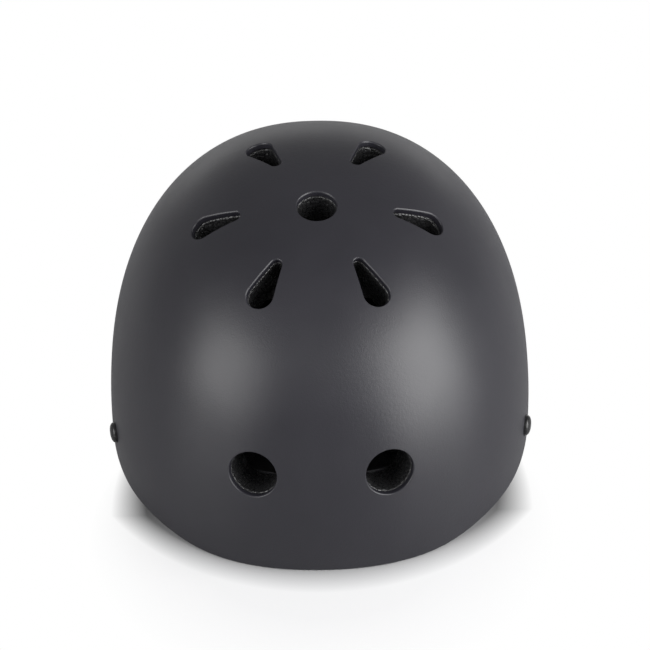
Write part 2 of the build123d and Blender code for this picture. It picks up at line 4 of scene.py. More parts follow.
import bmesh
import bpy
import numpy as np
from mathutils import Matrix, Vector, noise


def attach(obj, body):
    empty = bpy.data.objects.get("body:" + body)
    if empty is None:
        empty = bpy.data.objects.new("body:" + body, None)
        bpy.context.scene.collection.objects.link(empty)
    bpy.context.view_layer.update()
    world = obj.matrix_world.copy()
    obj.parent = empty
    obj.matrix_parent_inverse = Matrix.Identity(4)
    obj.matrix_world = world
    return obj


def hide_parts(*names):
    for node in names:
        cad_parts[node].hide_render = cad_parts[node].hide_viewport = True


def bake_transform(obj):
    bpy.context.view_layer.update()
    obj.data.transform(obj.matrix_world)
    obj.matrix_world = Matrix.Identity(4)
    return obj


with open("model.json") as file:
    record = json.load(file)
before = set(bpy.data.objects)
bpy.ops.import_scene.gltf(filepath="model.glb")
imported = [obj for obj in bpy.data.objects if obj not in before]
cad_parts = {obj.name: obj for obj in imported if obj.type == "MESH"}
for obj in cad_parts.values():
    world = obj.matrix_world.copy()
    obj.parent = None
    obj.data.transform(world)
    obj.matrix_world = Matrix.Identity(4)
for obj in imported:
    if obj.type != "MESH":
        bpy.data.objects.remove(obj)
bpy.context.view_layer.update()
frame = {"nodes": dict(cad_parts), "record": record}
scene = bpy.context.scene
nodes = frame["nodes"]
mm = 0.001
mergeDistance = 0.001 * mm

# the dome's rule: superellipse outline, superellipse profile, tilted back about X
dome = {
    "halfWidth": 110 * mm,
    "halfLength": 128.5 * mm,
    "rise": 144.4 * mm,
    "outlinePower": 2.22,
    "profilePower": 2.37,
    "tuckShare": 0.03,
    "tuckDepth": 50 * mm,
    "widestLevel": 17.5 * mm,
    "shift": -0.133 * mm,
    "tilt": math.radians(12),
}
tiltCos = math.cos(dome["tilt"])
tiltSin = math.sin(dome["tilt"])
axisUp = np.array([0, -tiltSin, tiltCos])

# the rim seen from the side: how far back, how high, and its slope there
rimCurve = [
    (-118 * mm, 0.0, 0.0),
    (-94 * mm, 3.3 * mm, 0.144),
    (-62 * mm, 5.0 * mm, 0.036),
    (2 * mm, 9.0 * mm, 0.0),
    (36 * mm, 9.0 * mm, 0.0),
    (104 * mm, 0.0, 0.0),
]


def sectionShare(height, inset):
    above = np.clip(height / (dome["rise"] - inset), 0, 1)
    share = (1 - above ** dome["profilePower"]) ** (1 / dome["profilePower"])
    tuck = 1 - dome["tuckShare"] * (height / dome["tuckDepth"]) ** 2
    return np.where(height >= 0, share, tuck)


def domePoints(turns, heights, inset):
    # points of the dome's face, set in, at turns and heights along its axis
    power, share = 2 / dome["outlinePower"], sectionShare(heights, inset)
    x, y = (np.sign(wave) * abs(wave) ** power * (dome[half] - inset) * share
            for wave, half in ((np.cos(turns), "halfWidth"), (np.sin(turns), "halfLength")))
    return fromDome(x, y, heights)


def fromDome(x, y, height):
    back = y * tiltCos - height * tiltSin + dome["shift"]
    up = y * tiltSin + height * tiltCos + dome["widestLevel"]
    return np.stack([x + 0 * up, back, up], axis=-1)


def levelOf(points, inset):
    # below zero inside the dome, above zero outside
    back = points[..., 1] - dome["shift"]
    up = points[..., 2] - dome["widestLevel"]
    along = back * tiltCos + up * tiltSin
    height = up * tiltCos - back * tiltSin
    n, m = dome["outlinePower"], dome["profilePower"]
    across = abs(points[..., 0] / (dome["halfWidth"] - inset)) ** n
    out = (across + abs(along / (dome["halfLength"] - inset)) ** n) ** (1 / n)
    below = (out / sectionShare(np.minimum(height, 0), inset)) ** m - 1
    above = out**m + (np.maximum(height, 0) / (dome["rise"] - inset)) ** m - 1
    return np.where(height < 0, below, above)


def domeNormals(points, inset):
    step = 0.3 * mm
    slopes = []
    for axis in range(3):
        move = np.zeros(3)
        move[axis] = step
        slopes.append(levelOf(points + move, inset) - levelOf(points - move, inset))
    normals = np.stack(slopes, axis=-1)
    return normals / np.linalg.norm(normals, axis=-1, keepdims=True)


# searches on the dome: the longest ray, the halvings, and the heights between which the rim lies
search = {"reach": 0.4, "halvings": 40, "rimLow": -48 * mm, "rimHigh": 40 * mm}


def bisected(low, high, holds):
    # the last values between low and high at which a test holds
    for _ in range(search["halvings"]):
        middle = (low + high) / 2
        found = holds(middle)
        low = np.where(found, middle, low)
        high = np.where(found, high, middle)
    return low


def castOut(starts, directions, inset):
    # where rays from inside leave the dome
    near = np.zeros(np.shape(starts)[:-1])
    reach = bisected(near, near + search["reach"],
                     lambda middle: levelOf(starts + directions * middle[..., None], inset) < 0)
    return starts + directions * reach[..., None]


def rimRise(back):
    # the rim's height, a smooth curve through its points
    rise = np.zeros_like(back)
    for (startBack, startRise, startSlope), (endBack, endRise, endSlope) in zip(rimCurve, rimCurve[1:]):
        run = endBack - startBack
        t = np.clip((back - startBack) / run, 0, 1)
        value = (1 + 2 * t) * (1 - t) ** 2 * startRise + t * (1 - t) ** 2 * run * startSlope
        value += t**2 * (3 - 2 * t) * endRise + t**2 * (t - 1) * run * endSlope
        rise = np.where((back >= startBack) & (back <= endBack), value, rise)
    return rise


def rimHeights(turns, inset, lift):
    # the height along the axis at which the dome's face stands a lift above the rim
    def under(heights):
        points = domePoints(turns, heights, inset)
        return points[..., 2] < rimRise(points[..., 1]) + lift
    return bisected(np.full_like(turns, search["rimLow"]), np.full_like(turns, search["rimHigh"]), under)


def newObject(name, mesh):
    made = bpy.data.objects.new(name, mesh)
    scene.collection.objects.link(made)
    return made


def meshFromRings(name, rings, closed=False):
    # a skin through rings of points, closed by a fan at each end or joined round
    points = np.array(rings)
    rows, columns = points.shape[:2]
    verts = [tuple(p) for p in points.reshape(-1, 3)]
    faces = []
    for row in range(rows if closed else rows - 1):
        here, below = row * columns, (row + 1) % rows * columns
        for column in range(columns):
            after = (column + 1) % columns
            faces.append((here + column, here + after, below + after, below + column))
    if not closed:
        for row in (0, rows - 1):
            verts.append(tuple(points[row].mean(axis=0)))
            for column in range(columns):
                after = (column + 1) % columns
                faces.append((row * columns + column, row * columns + after, len(verts) - 1))
    mesh = bpy.data.meshes.new(name)
    mesh.from_pydata(verts, [], faces)
    made = newObject(name, mesh)
    faceOutwards(made)
    return made


def faceOutwards(made):
    shape = bmesh.new()
    shape.from_mesh(made.data)
    bmesh.ops.remove_doubles(shape, verts=shape.verts, dist=mergeDistance)
    bmesh.ops.recalc_face_normals(shape, faces=shape.faces)
    if shape.calc_volume(signed=True) < 0:
        bmesh.ops.reverse_faces(shape, faces=shape.faces)
    shape.to_mesh(made.data)
    shape.free()


def joined(name, pieces):
    # one object from several, in place of them
    shape = bmesh.new()
    for piece in pieces:
        shape.from_mesh(piece.data)
        bpy.data.objects.remove(piece)
    mesh = bpy.data.meshes.new(name)
    shape.to_mesh(mesh)
    shape.free()
    return newObject(name, mesh)


def evaluated(made):
    # the object's own mesh in place of its modifiers
    graph = bpy.context.evaluated_depsgraph_get()
    mesh = bpy.data.meshes.new_from_object(made.evaluated_get(graph))
    made.modifiers.clear()
    made.data = mesh


def cutWith(made, cutter):
    cut = made.modifiers.new("cut", "BOOLEAN")
    cut.operation = "DIFFERENCE"
    cut.solver = "EXACT"
    cut.object = cutter
    evaluated(made)
    bpy.data.objects.remove(cutter)


def newMaterial(name, colour, roughness, **settings):
    made = bpy.data.materials.new(name)
    made.use_nodes = True
    shader = made.node_tree.nodes["Principled BSDF"]
    shader.inputs["Base Color"].default_value = (*colour, 1)
    shader.inputs["Roughness"].default_value = roughness
    for socket, value in settings.items():
        shader.inputs[socket].default_value = value
    return made


def addNode(made, kind, inputs=None, **choices):
    # a node of a material or a node tree, whose inputs are values or other nodes' outputs
    tree = getattr(made, "node_tree", made)
    node = tree.nodes.new(kind)
    for name, value in choices.items():
        setattr(node, name, value)
    for name, value in (inputs or {}).items():
        if isinstance(value, bpy.types.NodeSocket):
            tree.links.new(value, node.inputs[name])
        else:
            node.inputs[name].default_value = value
    return node


def mathNode(made, operation, *values):
    return addNode(made, "ShaderNodeMath", dict(enumerate(values)), operation=operation).outputs[0]


def plug(made, socket, output):
    made.node_tree.links.new(output, made.node_tree.nodes["Principled BSDF"].inputs[socket])


def placeIn(made, kind="Object"):
    return addNode(made, "ShaderNodeTexCoord").outputs[kind]


def noiseOf(made, place, scale, detail=2.0, roughness=0.5):
    inputs = {"Vector": place, "Scale": scale, "Detail": detail, "Roughness": roughness}
    return addNode(made, "ShaderNodeTexNoise", inputs).outputs["Fac"]


def cellsOf(made, place, scale, randomness, **choices):
    inputs = {"Vector": place, "Scale": scale, "Randomness": randomness}
    return addNode(made, "ShaderNodeTexVoronoi", inputs, **choices).outputs["Distance"]


def spread(made, value, low, high, start=0.3, end=0.7):
    inputs = {"Value": value, "From Min": start, "From Max": end, "To Min": low, "To Max": high}
    return addNode(made, "ShaderNodeMapRange", inputs).outputs["Result"]


def painted(made, value, dark, light):
    # the surface's colour, between two by a value from 0 to 1
    ramp = addNode(made, "ShaderNodeValToRGB", {"Fac": value})
    for element, colour in zip(ramp.color_ramp.elements, (dark, light)):
        element.color = (*colour, 1)
    plug(made, "Base Color", ramp.outputs["Color"])


def bumped(made, height, distance):
    inputs = {"Height": height, "Distance": distance, "Strength": 1.0}
    plug(made, "Normal", addNode(made, "ShaderNodeBump", inputs).outputs["Normal"])


def clouded(made, cloud, dark, light, roughness):
    # colour and gloss drift together
    painted(made, spread(made, cloud, 0, 1), dark, light)
    plug(made, "Roughness", spread(made, cloud, *roughness))


shellFinish = {
    "dark": (0.0150, 0.0145, 0.0192),
    "light": (0.0174, 0.0168, 0.0220),
    "roughness": (0.37, 0.42),
    "ior": 1.5,
    "cloudScale": 30.0,
    "grainScale": 1500.0,
    "peelScale": 600.0,
    "peelShare": 0.8,
    "grainDepth": 0.06 * mm,
}


def shellPlastic():
    finish = shellFinish
    made = newMaterial("shellPlastic", finish["dark"], finish["roughness"][0], IOR=finish["ior"])
    place = placeIn(made)
    cloud = noiseOf(made, place, finish["cloudScale"], detail=4.0)
    grain = noiseOf(made, place, finish["grainScale"], detail=3.0, roughness=0.6)
    peel = noiseOf(made, place, finish["peelScale"])
    clouded(made, cloud, finish["dark"], finish["light"], finish["roughness"])
    bumped(made, mathNode(made, "MULTIPLY_ADD", peel, finish["peelShare"], grain), finish["grainDepth"])
    return made


foamFinish = {
    "dark": (0.008, 0.008, 0.0085),
    "light": (0.020, 0.020, 0.021),
    "roughness": (0.22, 0.40),
    "skinScale": 700.0,
    "beadScale": 460.0,
    "beadRandomness": 0.8,
    "beadDepth": 0.28 * mm,
    "seamWidth": 0.14,
    "seamShare": 0.5,
}


def linerFoam():
    # fused foam beads with a slight skin
    finish = foamFinish
    made = newMaterial("linerFoam", finish["light"], roughness=0.34)
    place = placeIn(made)
    beads = cellsOf(made, place, finish["beadScale"], finish["beadRandomness"])
    bead = mathNode(made, "SUBTRACT", 1.0, mathNode(made, "POWER", beads, 2.0))
    edge = cellsOf(made, place, finish["beadScale"], finish["beadRandomness"], feature="DISTANCE_TO_EDGE")
    seam = spread(made, edge, 0, 1, 0.0, finish["seamWidth"])
    # painted shade: darker along the joints between the beads, where the bump sinks into a crease
    painted(made, seam, finish["dark"], finish["light"])
    plug(made, "Roughness", spread(made, noiseOf(made, place, finish["skinScale"]), *finish["roughness"]))
    bumped(made, mathNode(made, "MULTIPLY_ADD", seam, finish["seamShare"], bead), finish["beadDepth"])
    return made


webFinish = {
    "colour": (0.015, 0.015, 0.0165),
    "light": (0.048, 0.048, 0.052),
    "pickLength": 1.5 * mm,
    "pickLean": 0.6,
    "ribWidth": 1.35 * mm,
    "ribShare": 0.6,
    "depth": 0.22 * mm,
}


def webbingWeave():
    # herringbone ribs that lean towards the strap's middle, on the strap's own UV in metres
    finish = webFinish
    made = newMaterial("webbingWeave", finish["colour"], roughness=0.62)
    split = addNode(made, "ShaderNodeSeparateXYZ", {"Vector": placeIn(made, "UV")})
    along = mathNode(made, "DIVIDE", split.outputs[0], finish["pickLength"])
    across = mathNode(made, "ABSOLUTE", mathNode(made, "DIVIDE", split.outputs[1], finish["ribWidth"]))
    lean = mathNode(made, "ADD", along, mathNode(made, "MULTIPLY", across, finish["pickLean"]))
    waves = (mathNode(made, "MULTIPLY", turns, math.tau) for turns in (lean, across))
    picks, ribs = (mathNode(made, "SINE", wave) for wave in waves)
    height = mathNode(made, "MULTIPLY_ADD", ribs, finish["ribShare"], picks)
    most = 1 + finish["ribShare"]
    shade = spread(made, height, 0, 1, -most, most)
    # painted shade and highlight: the colour follows the weave's height, dark in its grooves and light on its
    # ridges
    painted(made, shade, finish["colour"], finish["light"])
    bumped(made, shade, finish["depth"])
    return made


padFinish = {
    "dark": (0.034, 0.034, 0.038),
    "light": (0.078, 0.078, 0.086),
    "loopScale": 1500.0,
    "loopRandomness": 0.25,
    "loopShare": -0.7,
    "napScale": 260.0,
    "shadeRange": (-0.2, 0.5),
    "depth": 0.18 * mm,
}


def padFabric():
    # a brushed knit: small loops under a soft nap
    finish = padFinish
    made = newMaterial("padFabric", finish["dark"], 0.85, **{"Sheen Weight": 0.35, "Sheen Roughness": 0.4})
    place = placeIn(made)
    loops = cellsOf(made, place, finish["loopScale"], finish["loopRandomness"])
    nap = noiseOf(made, place, finish["napScale"], detail=5.0, roughness=0.7)
    shade = mathNode(made, "MULTIPLY_ADD", loops, finish["loopShare"], nap)
    # the colour follows the height: painted shade between the loops, and an uneven tone from the nap
    painted(made, spread(made, shade, 0, 1, *finish["shadeRange"]), finish["dark"], finish["light"])
    bumped(made, shade, finish["depth"])
    return made


mouldFinish = {
    "lighten": 1.5,
    "cloudScale": 120.0,
    "glossDrift": 0.05,
    "grainScale": 3200.0,
    "grainDepth": 0.02 * mm,
}


def mouldedPlastic(name, colour, roughness, grainDepth=mouldFinish["grainDepth"]):
    # dark moulded plastic with a spark-eroded grain and faint flow clouds
    made = newMaterial(name, colour, roughness)
    place, drift = placeIn(made), mouldFinish["glossDrift"]
    light = tuple(mouldFinish["lighten"] * value for value in colour)
    cloud = noiseOf(made, place, mouldFinish["cloudScale"], detail=3.0)
    clouded(made, cloud, colour, light, (roughness - drift, roughness + drift))
    bumped(made, noiseOf(made, place, mouldFinish["grainScale"], detail=3.0, roughness=0.6), grainDepth)
    return made


steelFinish = {
    "colour": (0.45, 0.45, 0.44),
    "roughness": (0.25, 0.5),
    "scratchScale": 1600.0,
    "scratchDepth": 0.01 * mm,
}


def platedSteel():
    made = newMaterial("platedSteel", steelFinish["colour"], roughness=0.35, Metallic=1.0)
    scratches = noiseOf(made, placeIn(made), steelFinish["scratchScale"], detail=4.0)
    plug(made, "Roughness", spread(made, scratches, *steelFinish["roughness"]))
    bumped(made, scratches, steelFinish["scratchDepth"])
    return made


hookFinish = {
    "colour": (0.008, 0.008, 0.009),
    "tip": (0.018, 0.018, 0.02),
    "gap": (0.004, 0.004, 0.005),
    "hookScale": 900.0,
    "hookRandomness": 0.1,
    "hookHeight": 0.4 * mm,
}


def hookFabric():
    made = newMaterial("hookFabric", hookFinish["colour"], roughness=0.6)
    hooks = cellsOf(made, placeIn(made), hookFinish["hookScale"], hookFinish["hookRandomness"])
    # painted shade and highlight: dark in the gaps between the hooks and lighter on their tips, following their
    # height
    painted(made, hooks, hookFinish["tip"], hookFinish["gap"])
    bumped(made, mathNode(made, "SUBTRACT", 1.0, hooks), hookFinish["hookHeight"])
    return made


materials = {
    "shell_plastic": shellPlastic(),
    "liner_foam": linerFoam(),
    "rivet_head": mouldedPlastic("rivetPaint", (0.006, 0.006, 0.0065), 0.3, 0.006 * mm),
    "washer_nylon": mouldedPlastic("washerNylon", (0.035, 0.035, 0.037), 0.5),
    "nut_steel": platedSteel(),
    "webbing": webbingWeave(),
    "buckle_plastic": mouldedPlastic("bucklePlastic", (0.010, 0.010, 0.0108), 0.42),
    "keeper_rubber": mouldedPlastic("keeperRubber", (0.012, 0.012, 0.0125), 0.7),
    "pad_fabric": padFabric(),
    "hook_fabric": hookFabric(),
}
for part in frame["record"]["subparts"]:
    mesh = nodes[part["node"]].data
    mesh.materials.clear()
    mesh.materials.append(materials[part["material_slot"]])
print("materials made")


def finishPiece(made, slot, *replaced, body="helmet"):
    # give a finished piece its material and its place in the object, and hide the nodes that it stands for
    made.data.materials.clear()
    made.data.materials.append(materials[slot])
    if replaced:
        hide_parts(*replaced)
    if body:
        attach(made, body)


def smoothByAngle(made, degrees=25.0):
    for face in made.data.polygons:
        face.use_smooth = True
    made.data.set_sharp_from_angle(angle=math.radians(degrees))
    return made


# where the vents are: distances from the dome's axis, or heights above its widest section
vents = {
    "crownDiameter": 20 * mm,
    "sideDiameter": 24.5 * mm,
    "sideOffset": 34.2 * mm,
    "sideHeight": 67.5 * mm,
    "drops": 6,
    "ringRadius": 51.4 * mm,
    "ringForward": 4 * mm,
    "dropLength": 27.6 * mm,
    "dropWide": 6.8 * mm,
    "dropNarrow": 2.9 * mm,
    "lip": 1.1 * mm,
    "lipSteps": 6,
    "creaseAngle": 28.0,
    "cutterTop": -6 * mm,
    "castDepth": 12 * mm,
    "outlinePoints": 96,
}


def planeOn(point, inset, towards):
    # a frame on the dome's face: origin, x towards a direction, y, and the outward normal
    normal = domeNormals(point, inset)
    x = towards - normal * np.dot(towards, normal)
    x /= np.linalg.norm(x)
    return point, x, np.cross(normal, x), normal


def planeAbove(x, y):
    # near the crown, with x away from the crown vent
    point = castOut(fromDome(x, y, 0.0), axisUp, 0)
    away = fromDome(x, y, 0.0) - fromDome(0.0, -vents["ringForward"], 0.0)
    if np.linalg.norm(away) < mm:
        away = np.array([1.0, 0, 0])
    return planeOn(point, 0, away)


def planeAt(x, height, towards):
    # on the front or the back, at a height along the dome's axis
    point = castOut(fromDome(x, 0.0, height), np.array([0, tiltCos, tiltSin]) * towards, 0)
    return planeOn(point, 0, np.array([1.0, 0, 0]))


def roundTurns(count):
    return np.linspace(0, math.tau, count, endpoint=False)


def circle(turns):
    return np.stack([np.cos(turns), np.sin(turns)], axis=-1)


def circleOutline(radius):
    return lambda margin: circle(roundTurns(vents["outlinePoints"])) * (radius + margin)


def dropOutline(margin):
    # two circles joined by their shared tangents, the wide one outwards
    gap = vents["dropLength"] - vents["dropWide"] - vents["dropNarrow"]
    lean = math.asin((vents["dropWide"] - vents["dropNarrow"]) / gap)
    wideX = vents["dropLength"] / 2 - vents["dropWide"]
    narrowX = wideX - gap
    wide, narrow = vents["dropWide"] + margin, vents["dropNarrow"] + margin
    quarter = vents["outlinePoints"] // 8
    ends = math.pi / 2 + lean
    wideArc = [wideX, 0] + wide * circle(np.linspace(-ends, ends, 3 * quarter + 1))
    narrowArc = [narrowX, 0] + narrow * circle(np.linspace(ends, math.tau - ends, 2 * quarter + 1))
    steps = np.linspace(0, 1, quarter + 2)[1:-1, None]
    top = wideArc[-1] + (narrowArc[0] - wideArc[-1]) * steps
    bottom = narrowArc[-1] + (wideArc[0] - narrowArc[-1]) * steps
    return np.concatenate([wideArc, top, narrowArc, bottom])


def ventList():
    found = [(planeAbove(0.0, -vents["ringForward"]), circleOutline(vents["crownDiameter"] / 2))]
    for side in (-1, 1):
        for towards in (-1, 1):
            plane = planeAt(side * vents["sideOffset"], vents["sideHeight"], towards)
            found.append((plane, circleOutline(vents["sideDiameter"] / 2)))
    for drop in range(vents["drops"]):
        turn = math.tau / vents["drops"] * drop
        x = vents["ringRadius"] * math.cos(turn)
        y = vents["ringRadius"] * math.sin(turn) - vents["ringForward"]
        found.append((planeAbove(x, y), dropOutline))
    return found


def onDomeUnder(plane, flat, inset):
    # flat points of a plane, moved along its normal onto the dome set in
    origin, x, y, normal = plane
    starts = origin + flat[:, :1] * x + flat[:, 1:] * y - normal * (inset + vents["castDepth"])
    return castOut(starts, np.broadcast_to(normal, starts.shape), inset)


def cutterAlong(plane, outline, rows):
    # rows are (inset of the dome, margin round the outline, depth under that dome)
    rings = [onDomeUnder(plane, outline(margin), inset) - plane[3] * depth for inset, margin, depth in rows]
    return meshFromRings("cutter", rings)


def lipRows(inset, lip, steps=vents["lipSteps"]):
    # a rounded lip at a dome's face, from a slight crease down to the wall
    start = vents["creaseAngle"]
    rows = [(inset, lip * (1 - math.sin(math.radians(start))), vents["cutterTop"])]
    for step in range(steps + 1):
        turn = math.radians(start + (90 - start) * step / steps)
        depth = lip * (math.cos(math.radians(start)) - math.cos(turn))
        rows.append((inset, lip * (1 - math.sin(turn)), depth))
    return rows


# a face takes the dome's own normals where it lies this near to its level and turn
facing = {"levelGap": 0.0006, "turn": math.radians(16)}


def faceNormals(made, insets):
    # true dome normals on the faces that follow the domes set in, so cuts leave no marks in the shading
    mesh = made.data
    smoothByAngle(made)
    points = np.zeros(len(mesh.vertices) * 3)
    mesh.vertices.foreach_get("co", points)
    points = points.reshape(-1, 3)
    flat = np.zeros(len(mesh.polygons) * 3)
    mesh.polygons.foreach_get("normal", flat)
    loopVertex = np.zeros(len(mesh.loops), int)
    mesh.loops.foreach_get("vertex_index", loopVertex)
    loopFlat = np.repeat(flat.reshape(-1, 3), [face.loop_total for face in mesh.polygons], axis=0)
    wanted = np.zeros((len(mesh.loops), 3))
    for inset, sign in insets:
        near = abs(levelOf(points, inset)) < facing["levelGap"]
        normals = np.zeros_like(points)
        normals[near] = domeNormals(points[near], inset) * sign
        turned = normals[loopVertex]
        along = (turned * loopFlat).sum(axis=1)
        wanted = np.where((along > math.cos(facing["turn"]))[:, None], turned, wanted)
    mesh.normals_split_custom_set(wanted.tolist())


shellShape = {
    "outer": 0.0,
    "inner": 3 * mm,
    "rimLift": 0.0,
    "outerRound": 1.0 * mm,
    "innerRound": 0.5 * mm,
    "rimSteps": 6,
    "columns": 288,
    "risingRows": 84,
    "skirtRows": 22,
    "skirtTop": 22 * mm,
    "cutPast": 8 * mm,
}


def risingRings(turns, inset, bottom, rows):
    # rings from a height up to just under the pole, evenly spaced over the face
    m = dome["profilePower"]
    rise = dome["rise"] - inset
    first = math.asin(min(1, (bottom / rise) ** (m / 2)))
    leans = [first + (math.pi / 2 - first) * row / rows for row in range(rows)]
    return [domePoints(turns, np.full_like(turns, rise * math.sin(lean) ** (2 / m)), inset) for lean in leans]


def domeWall(name, shape):
    # a wall between two domes: from the outer pole down, across the rim's rounded edge, up to the inner pole
    turns, top, rows = roundTurns(shape["columns"]), shape["skirtTop"], shape["skirtRows"]
    shares = [step / shape["rimSteps"] for step in range(shape["rimSteps"] + 1)]
    sides, edge = [], []
    for hand, sign, order in (("outer", 1, shares), ("inner", -1, shares[::-1])):
        face, edgeRound = shape[hand], shape[hand + "Round"]
        low = rimHeights(turns, face, shape["rimLift"] + edgeRound)
        skirt = [domePoints(turns, low + (top - low) * row / rows, face) for row in range(rows)]
        sides.append(skirt + risingRings(turns, face, top, shape["risingRows"]))
        for share in order:
            turn = math.pi / 2 * share
            inset = face + sign * edgeRound * (1 - math.cos(turn))
            lift = shape["rimLift"] + edgeRound * (1 - math.sin(turn))
            edge.append(domePoints(turns, rimHeights(turns, inset, lift), inset))
    return meshFromRings(name, sides[0][:0:-1] + edge + sides[1][1:])


def finishWall(made, cutters, shape, slot, node):
    cutWith(made, joined("cutters", cutters))
    faceNormals(made, [(shape["outer"], 1), (shape["inner"], -1)])
    finishPiece(made, slot, node)


# the strap rivets: how far back the two on each side sit, their height, and the faces under their heads
anchors = {
    "backs": {"front": -40 * mm, "rear": 56 * mm},
    "height": 24 * mm,
    "headRadius": 5.3 * mm,
    "spotMargin": 0.4 * mm,
    "spotDepth": 0.6 * mm,
    "spotLip": 0.25 * mm,
}
rivetPlaces = [(side, back) for side in (-1, 1) for back in anchors["backs"].values()]


def anchorPlane(side, back):
    start = np.array([0.0, back, anchors["height"]])
    point = castOut(start, np.array([float(side), 0, 0]), 0)
    return planeOn(point, 0, np.array([0.0, 0, 1]))


def makeShell():
    rows = [*lipRows(0.0, vents["lip"]), (0.0, 0.0, shellShape["inner"] + shellShape["cutPast"])]
    cutters = [cutterAlong(plane, outline, rows) for plane, outline in ventList()]
    outline = circleOutline(anchors["headRadius"] + anchors["spotMargin"])
    rows = [*lipRows(0.0, anchors["spotLip"], steps=3), (0.0, 0.0, anchors["spotDepth"])]
    cutters += [cutterAlong(anchorPlane(side, back), outline, rows) for side, back in rivetPlaces]
    finishWall(domeWall("helmetShell", shellShape), cutters, shellShape, "shell_plastic", "outer_shell")


makeShell()
print("shell made")

# a rivet and the boss behind it, as radii and as heights over the shell's face
rivet = {
    "headHeight": 2.9 * mm,
    "edgeHeight": 0.5 * mm,
    "domePower": 2.3,
    "seat": -0.6 * mm,
    "shaftRadius": 2.5 * mm,
    "shaftEnd": -8.6 * mm,
    "bossRadius": 7.5 * mm,
    "bossTop": -2.9 * mm,
    "bossEnd": -4.2 * mm,
    "points": 64,
    "steps": 14,
}


def lathed(name, plane, rows):
    # rows of (radius, height) turned round a plane's normal
    origin, x, y, normal = plane
    turns = roundTurns(rivet["points"])[:, None]
    circle = np.cos(turns) * x + np.sin(turns) * y
    rings = [origin + normal * height + radius * circle for radius, height in rows]
    return smoothByAngle(meshFromRings(name, rings))


def makeRivet(side, back, name, node):
    # a domed head on the shell's spot face, with its shaft through the wall
    radius, power = anchors["headRadius"], 2 / rivet["domePower"]
    domed = rivet["headHeight"] - rivet["edgeHeight"]
    rows = []
    for step in range(rivet["steps"]):
        lean = math.pi / 2 * (step + 1) / rivet["steps"]
        height = rivet["edgeHeight"] + domed * max(0, math.cos(lean)) ** power
        rows.append((radius * math.sin(lean) ** power, height))
    rows += [(radius, rivet["seat"]), (rivet["shaftRadius"], rivet["seat"]),
             (rivet["shaftRadius"], rivet["shaftEnd"])]
    finishPiece(lathed(name, anchorPlane(side, back), rows), "rivet_head", node)


for side, hand in ((-1, "left"), (1, "right")):
    for end, back in anchors["backs"].items():
        makeRivet(side, back, f"{end}{hand.title()}Rivet", f"rivet_{end}_{hand}")

bossRows = [(rivet["bossRadius"], rivet["bossTop"]), (rivet["bossRadius"], rivet["bossEnd"])]
bosses = [lathed("boss", anchorPlane(side, back), bossRows) for side, back in rivetPlaces]
finishPiece(joined("shellBosses", bosses), "shell_plastic")
print("rivets made")

linerShape = {
    "outer": 3.3 * mm,
    "inner": 23.3 * mm,
    "rimLift": 6 * mm,
    "outerRound": 2.5 * mm,
    "innerRound": 2.5 * mm,
    "setback": -0.5 * mm,
    "lip": 1.2 * mm,
    "innerFlare": 2.5 * mm,
    "flareSteps": 5,
    "throatShare": 0.7,
    "throatStart": 0.3 * mm,
    "cutPast": 9 * mm,
    "columns": 224,
    "risingRows": 64,
    "skirtRows": 14,
    "skirtTop": 34 * mm,
    "rimSteps": 5,
    "notchDepth": 8.4 * mm,
    "notchMargin": 3.5 * mm,
    "notchAbove": 11 * mm,
    "notchBottom": -4 * mm,
    "notchRows": 12,
    "notchPoints": 10,
    "notchOut": 130 * mm,
}

# webbing sizes, the levels of the folded flaps, and how a lap comes down: shares along and down
webbing = {
    "width": 16 * mm,
    "thickness": 1.4 * mm,
    "level": 3 * mm,
    "foldOut": 92.5 * mm,
    "foldRadius": 6.4 * mm,
    "flapLength": 38.5 * mm,
    "dividerBack": 4 * mm,
    "barSetback": 2.2 * mm,
    "turnRadius": 2.2 * mm,
    "turnPoints": 15,
    "slope": 7 * mm,
    "lap": 6 * mm,
    "legReach": 18.6 * mm,
    "chinReach": 14.2 * mm,
    "chinAngle": math.radians(65),
    "depth": 5.2 * mm,
    "endLength": 8.5 * mm,
    "lapGap": 0.15 * mm,
    "lapEasing": [(0, 0), (0.12, 0.02), (0.3, 0.2), (0.7, 0.8), (0.88, 0.98), (1, 1)],
    "foldSteps": 17,
    "flatRun": 12 * mm,
    "flatSetback": 2 * mm,
    "stationStep": 0.8 * mm,
    "edgePoints": 7,
    "facePoints": 10,
    "faceShare": 0.9,
}
foldLevel = webbing["level"] + webbing["foldRadius"]
foldLength = math.pi / 2 * webbing["foldRadius"]
dividerOut = webbing["foldOut"] - webbing["flapLength"]


def legSlope(back):
    fall = anchors["height"] - foldLevel
    return (webbing["dividerBack"] - back) / (fall + foldLength + webbing["flapLength"])


def notchCutter(side, back):
    # a recess in the liner's outer face that follows the leg, its floor parallel to the face
    slope = legSlope(back)
    half = webbing["width"] / 2 * math.hypot(1, slope) + linerShape["notchMargin"]
    top = anchors["height"] + linerShape["notchAbove"]
    count = linerShape["notchPoints"]
    rings = []
    for share in np.linspace(0, 1, linerShape["notchRows"]):
        height = top + (linerShape["notchBottom"] - top) * share
        middle = back + slope * (anchors["height"] - height)
        across = np.linspace(middle - half, middle + half, count)
        starts = np.stack([np.zeros(count), across, np.full(count, height)], axis=-1)
        floor = castOut(starts, np.array([float(side), 0, 0]), linerShape["outer"] + linerShape["notchDepth"])
        outside = floor[::-1].copy()
        outside[:, 0] = side * linerShape["notchOut"]
        rings.append(np.concatenate([floor, outside]))
    return meshFromRings("notch", rings)


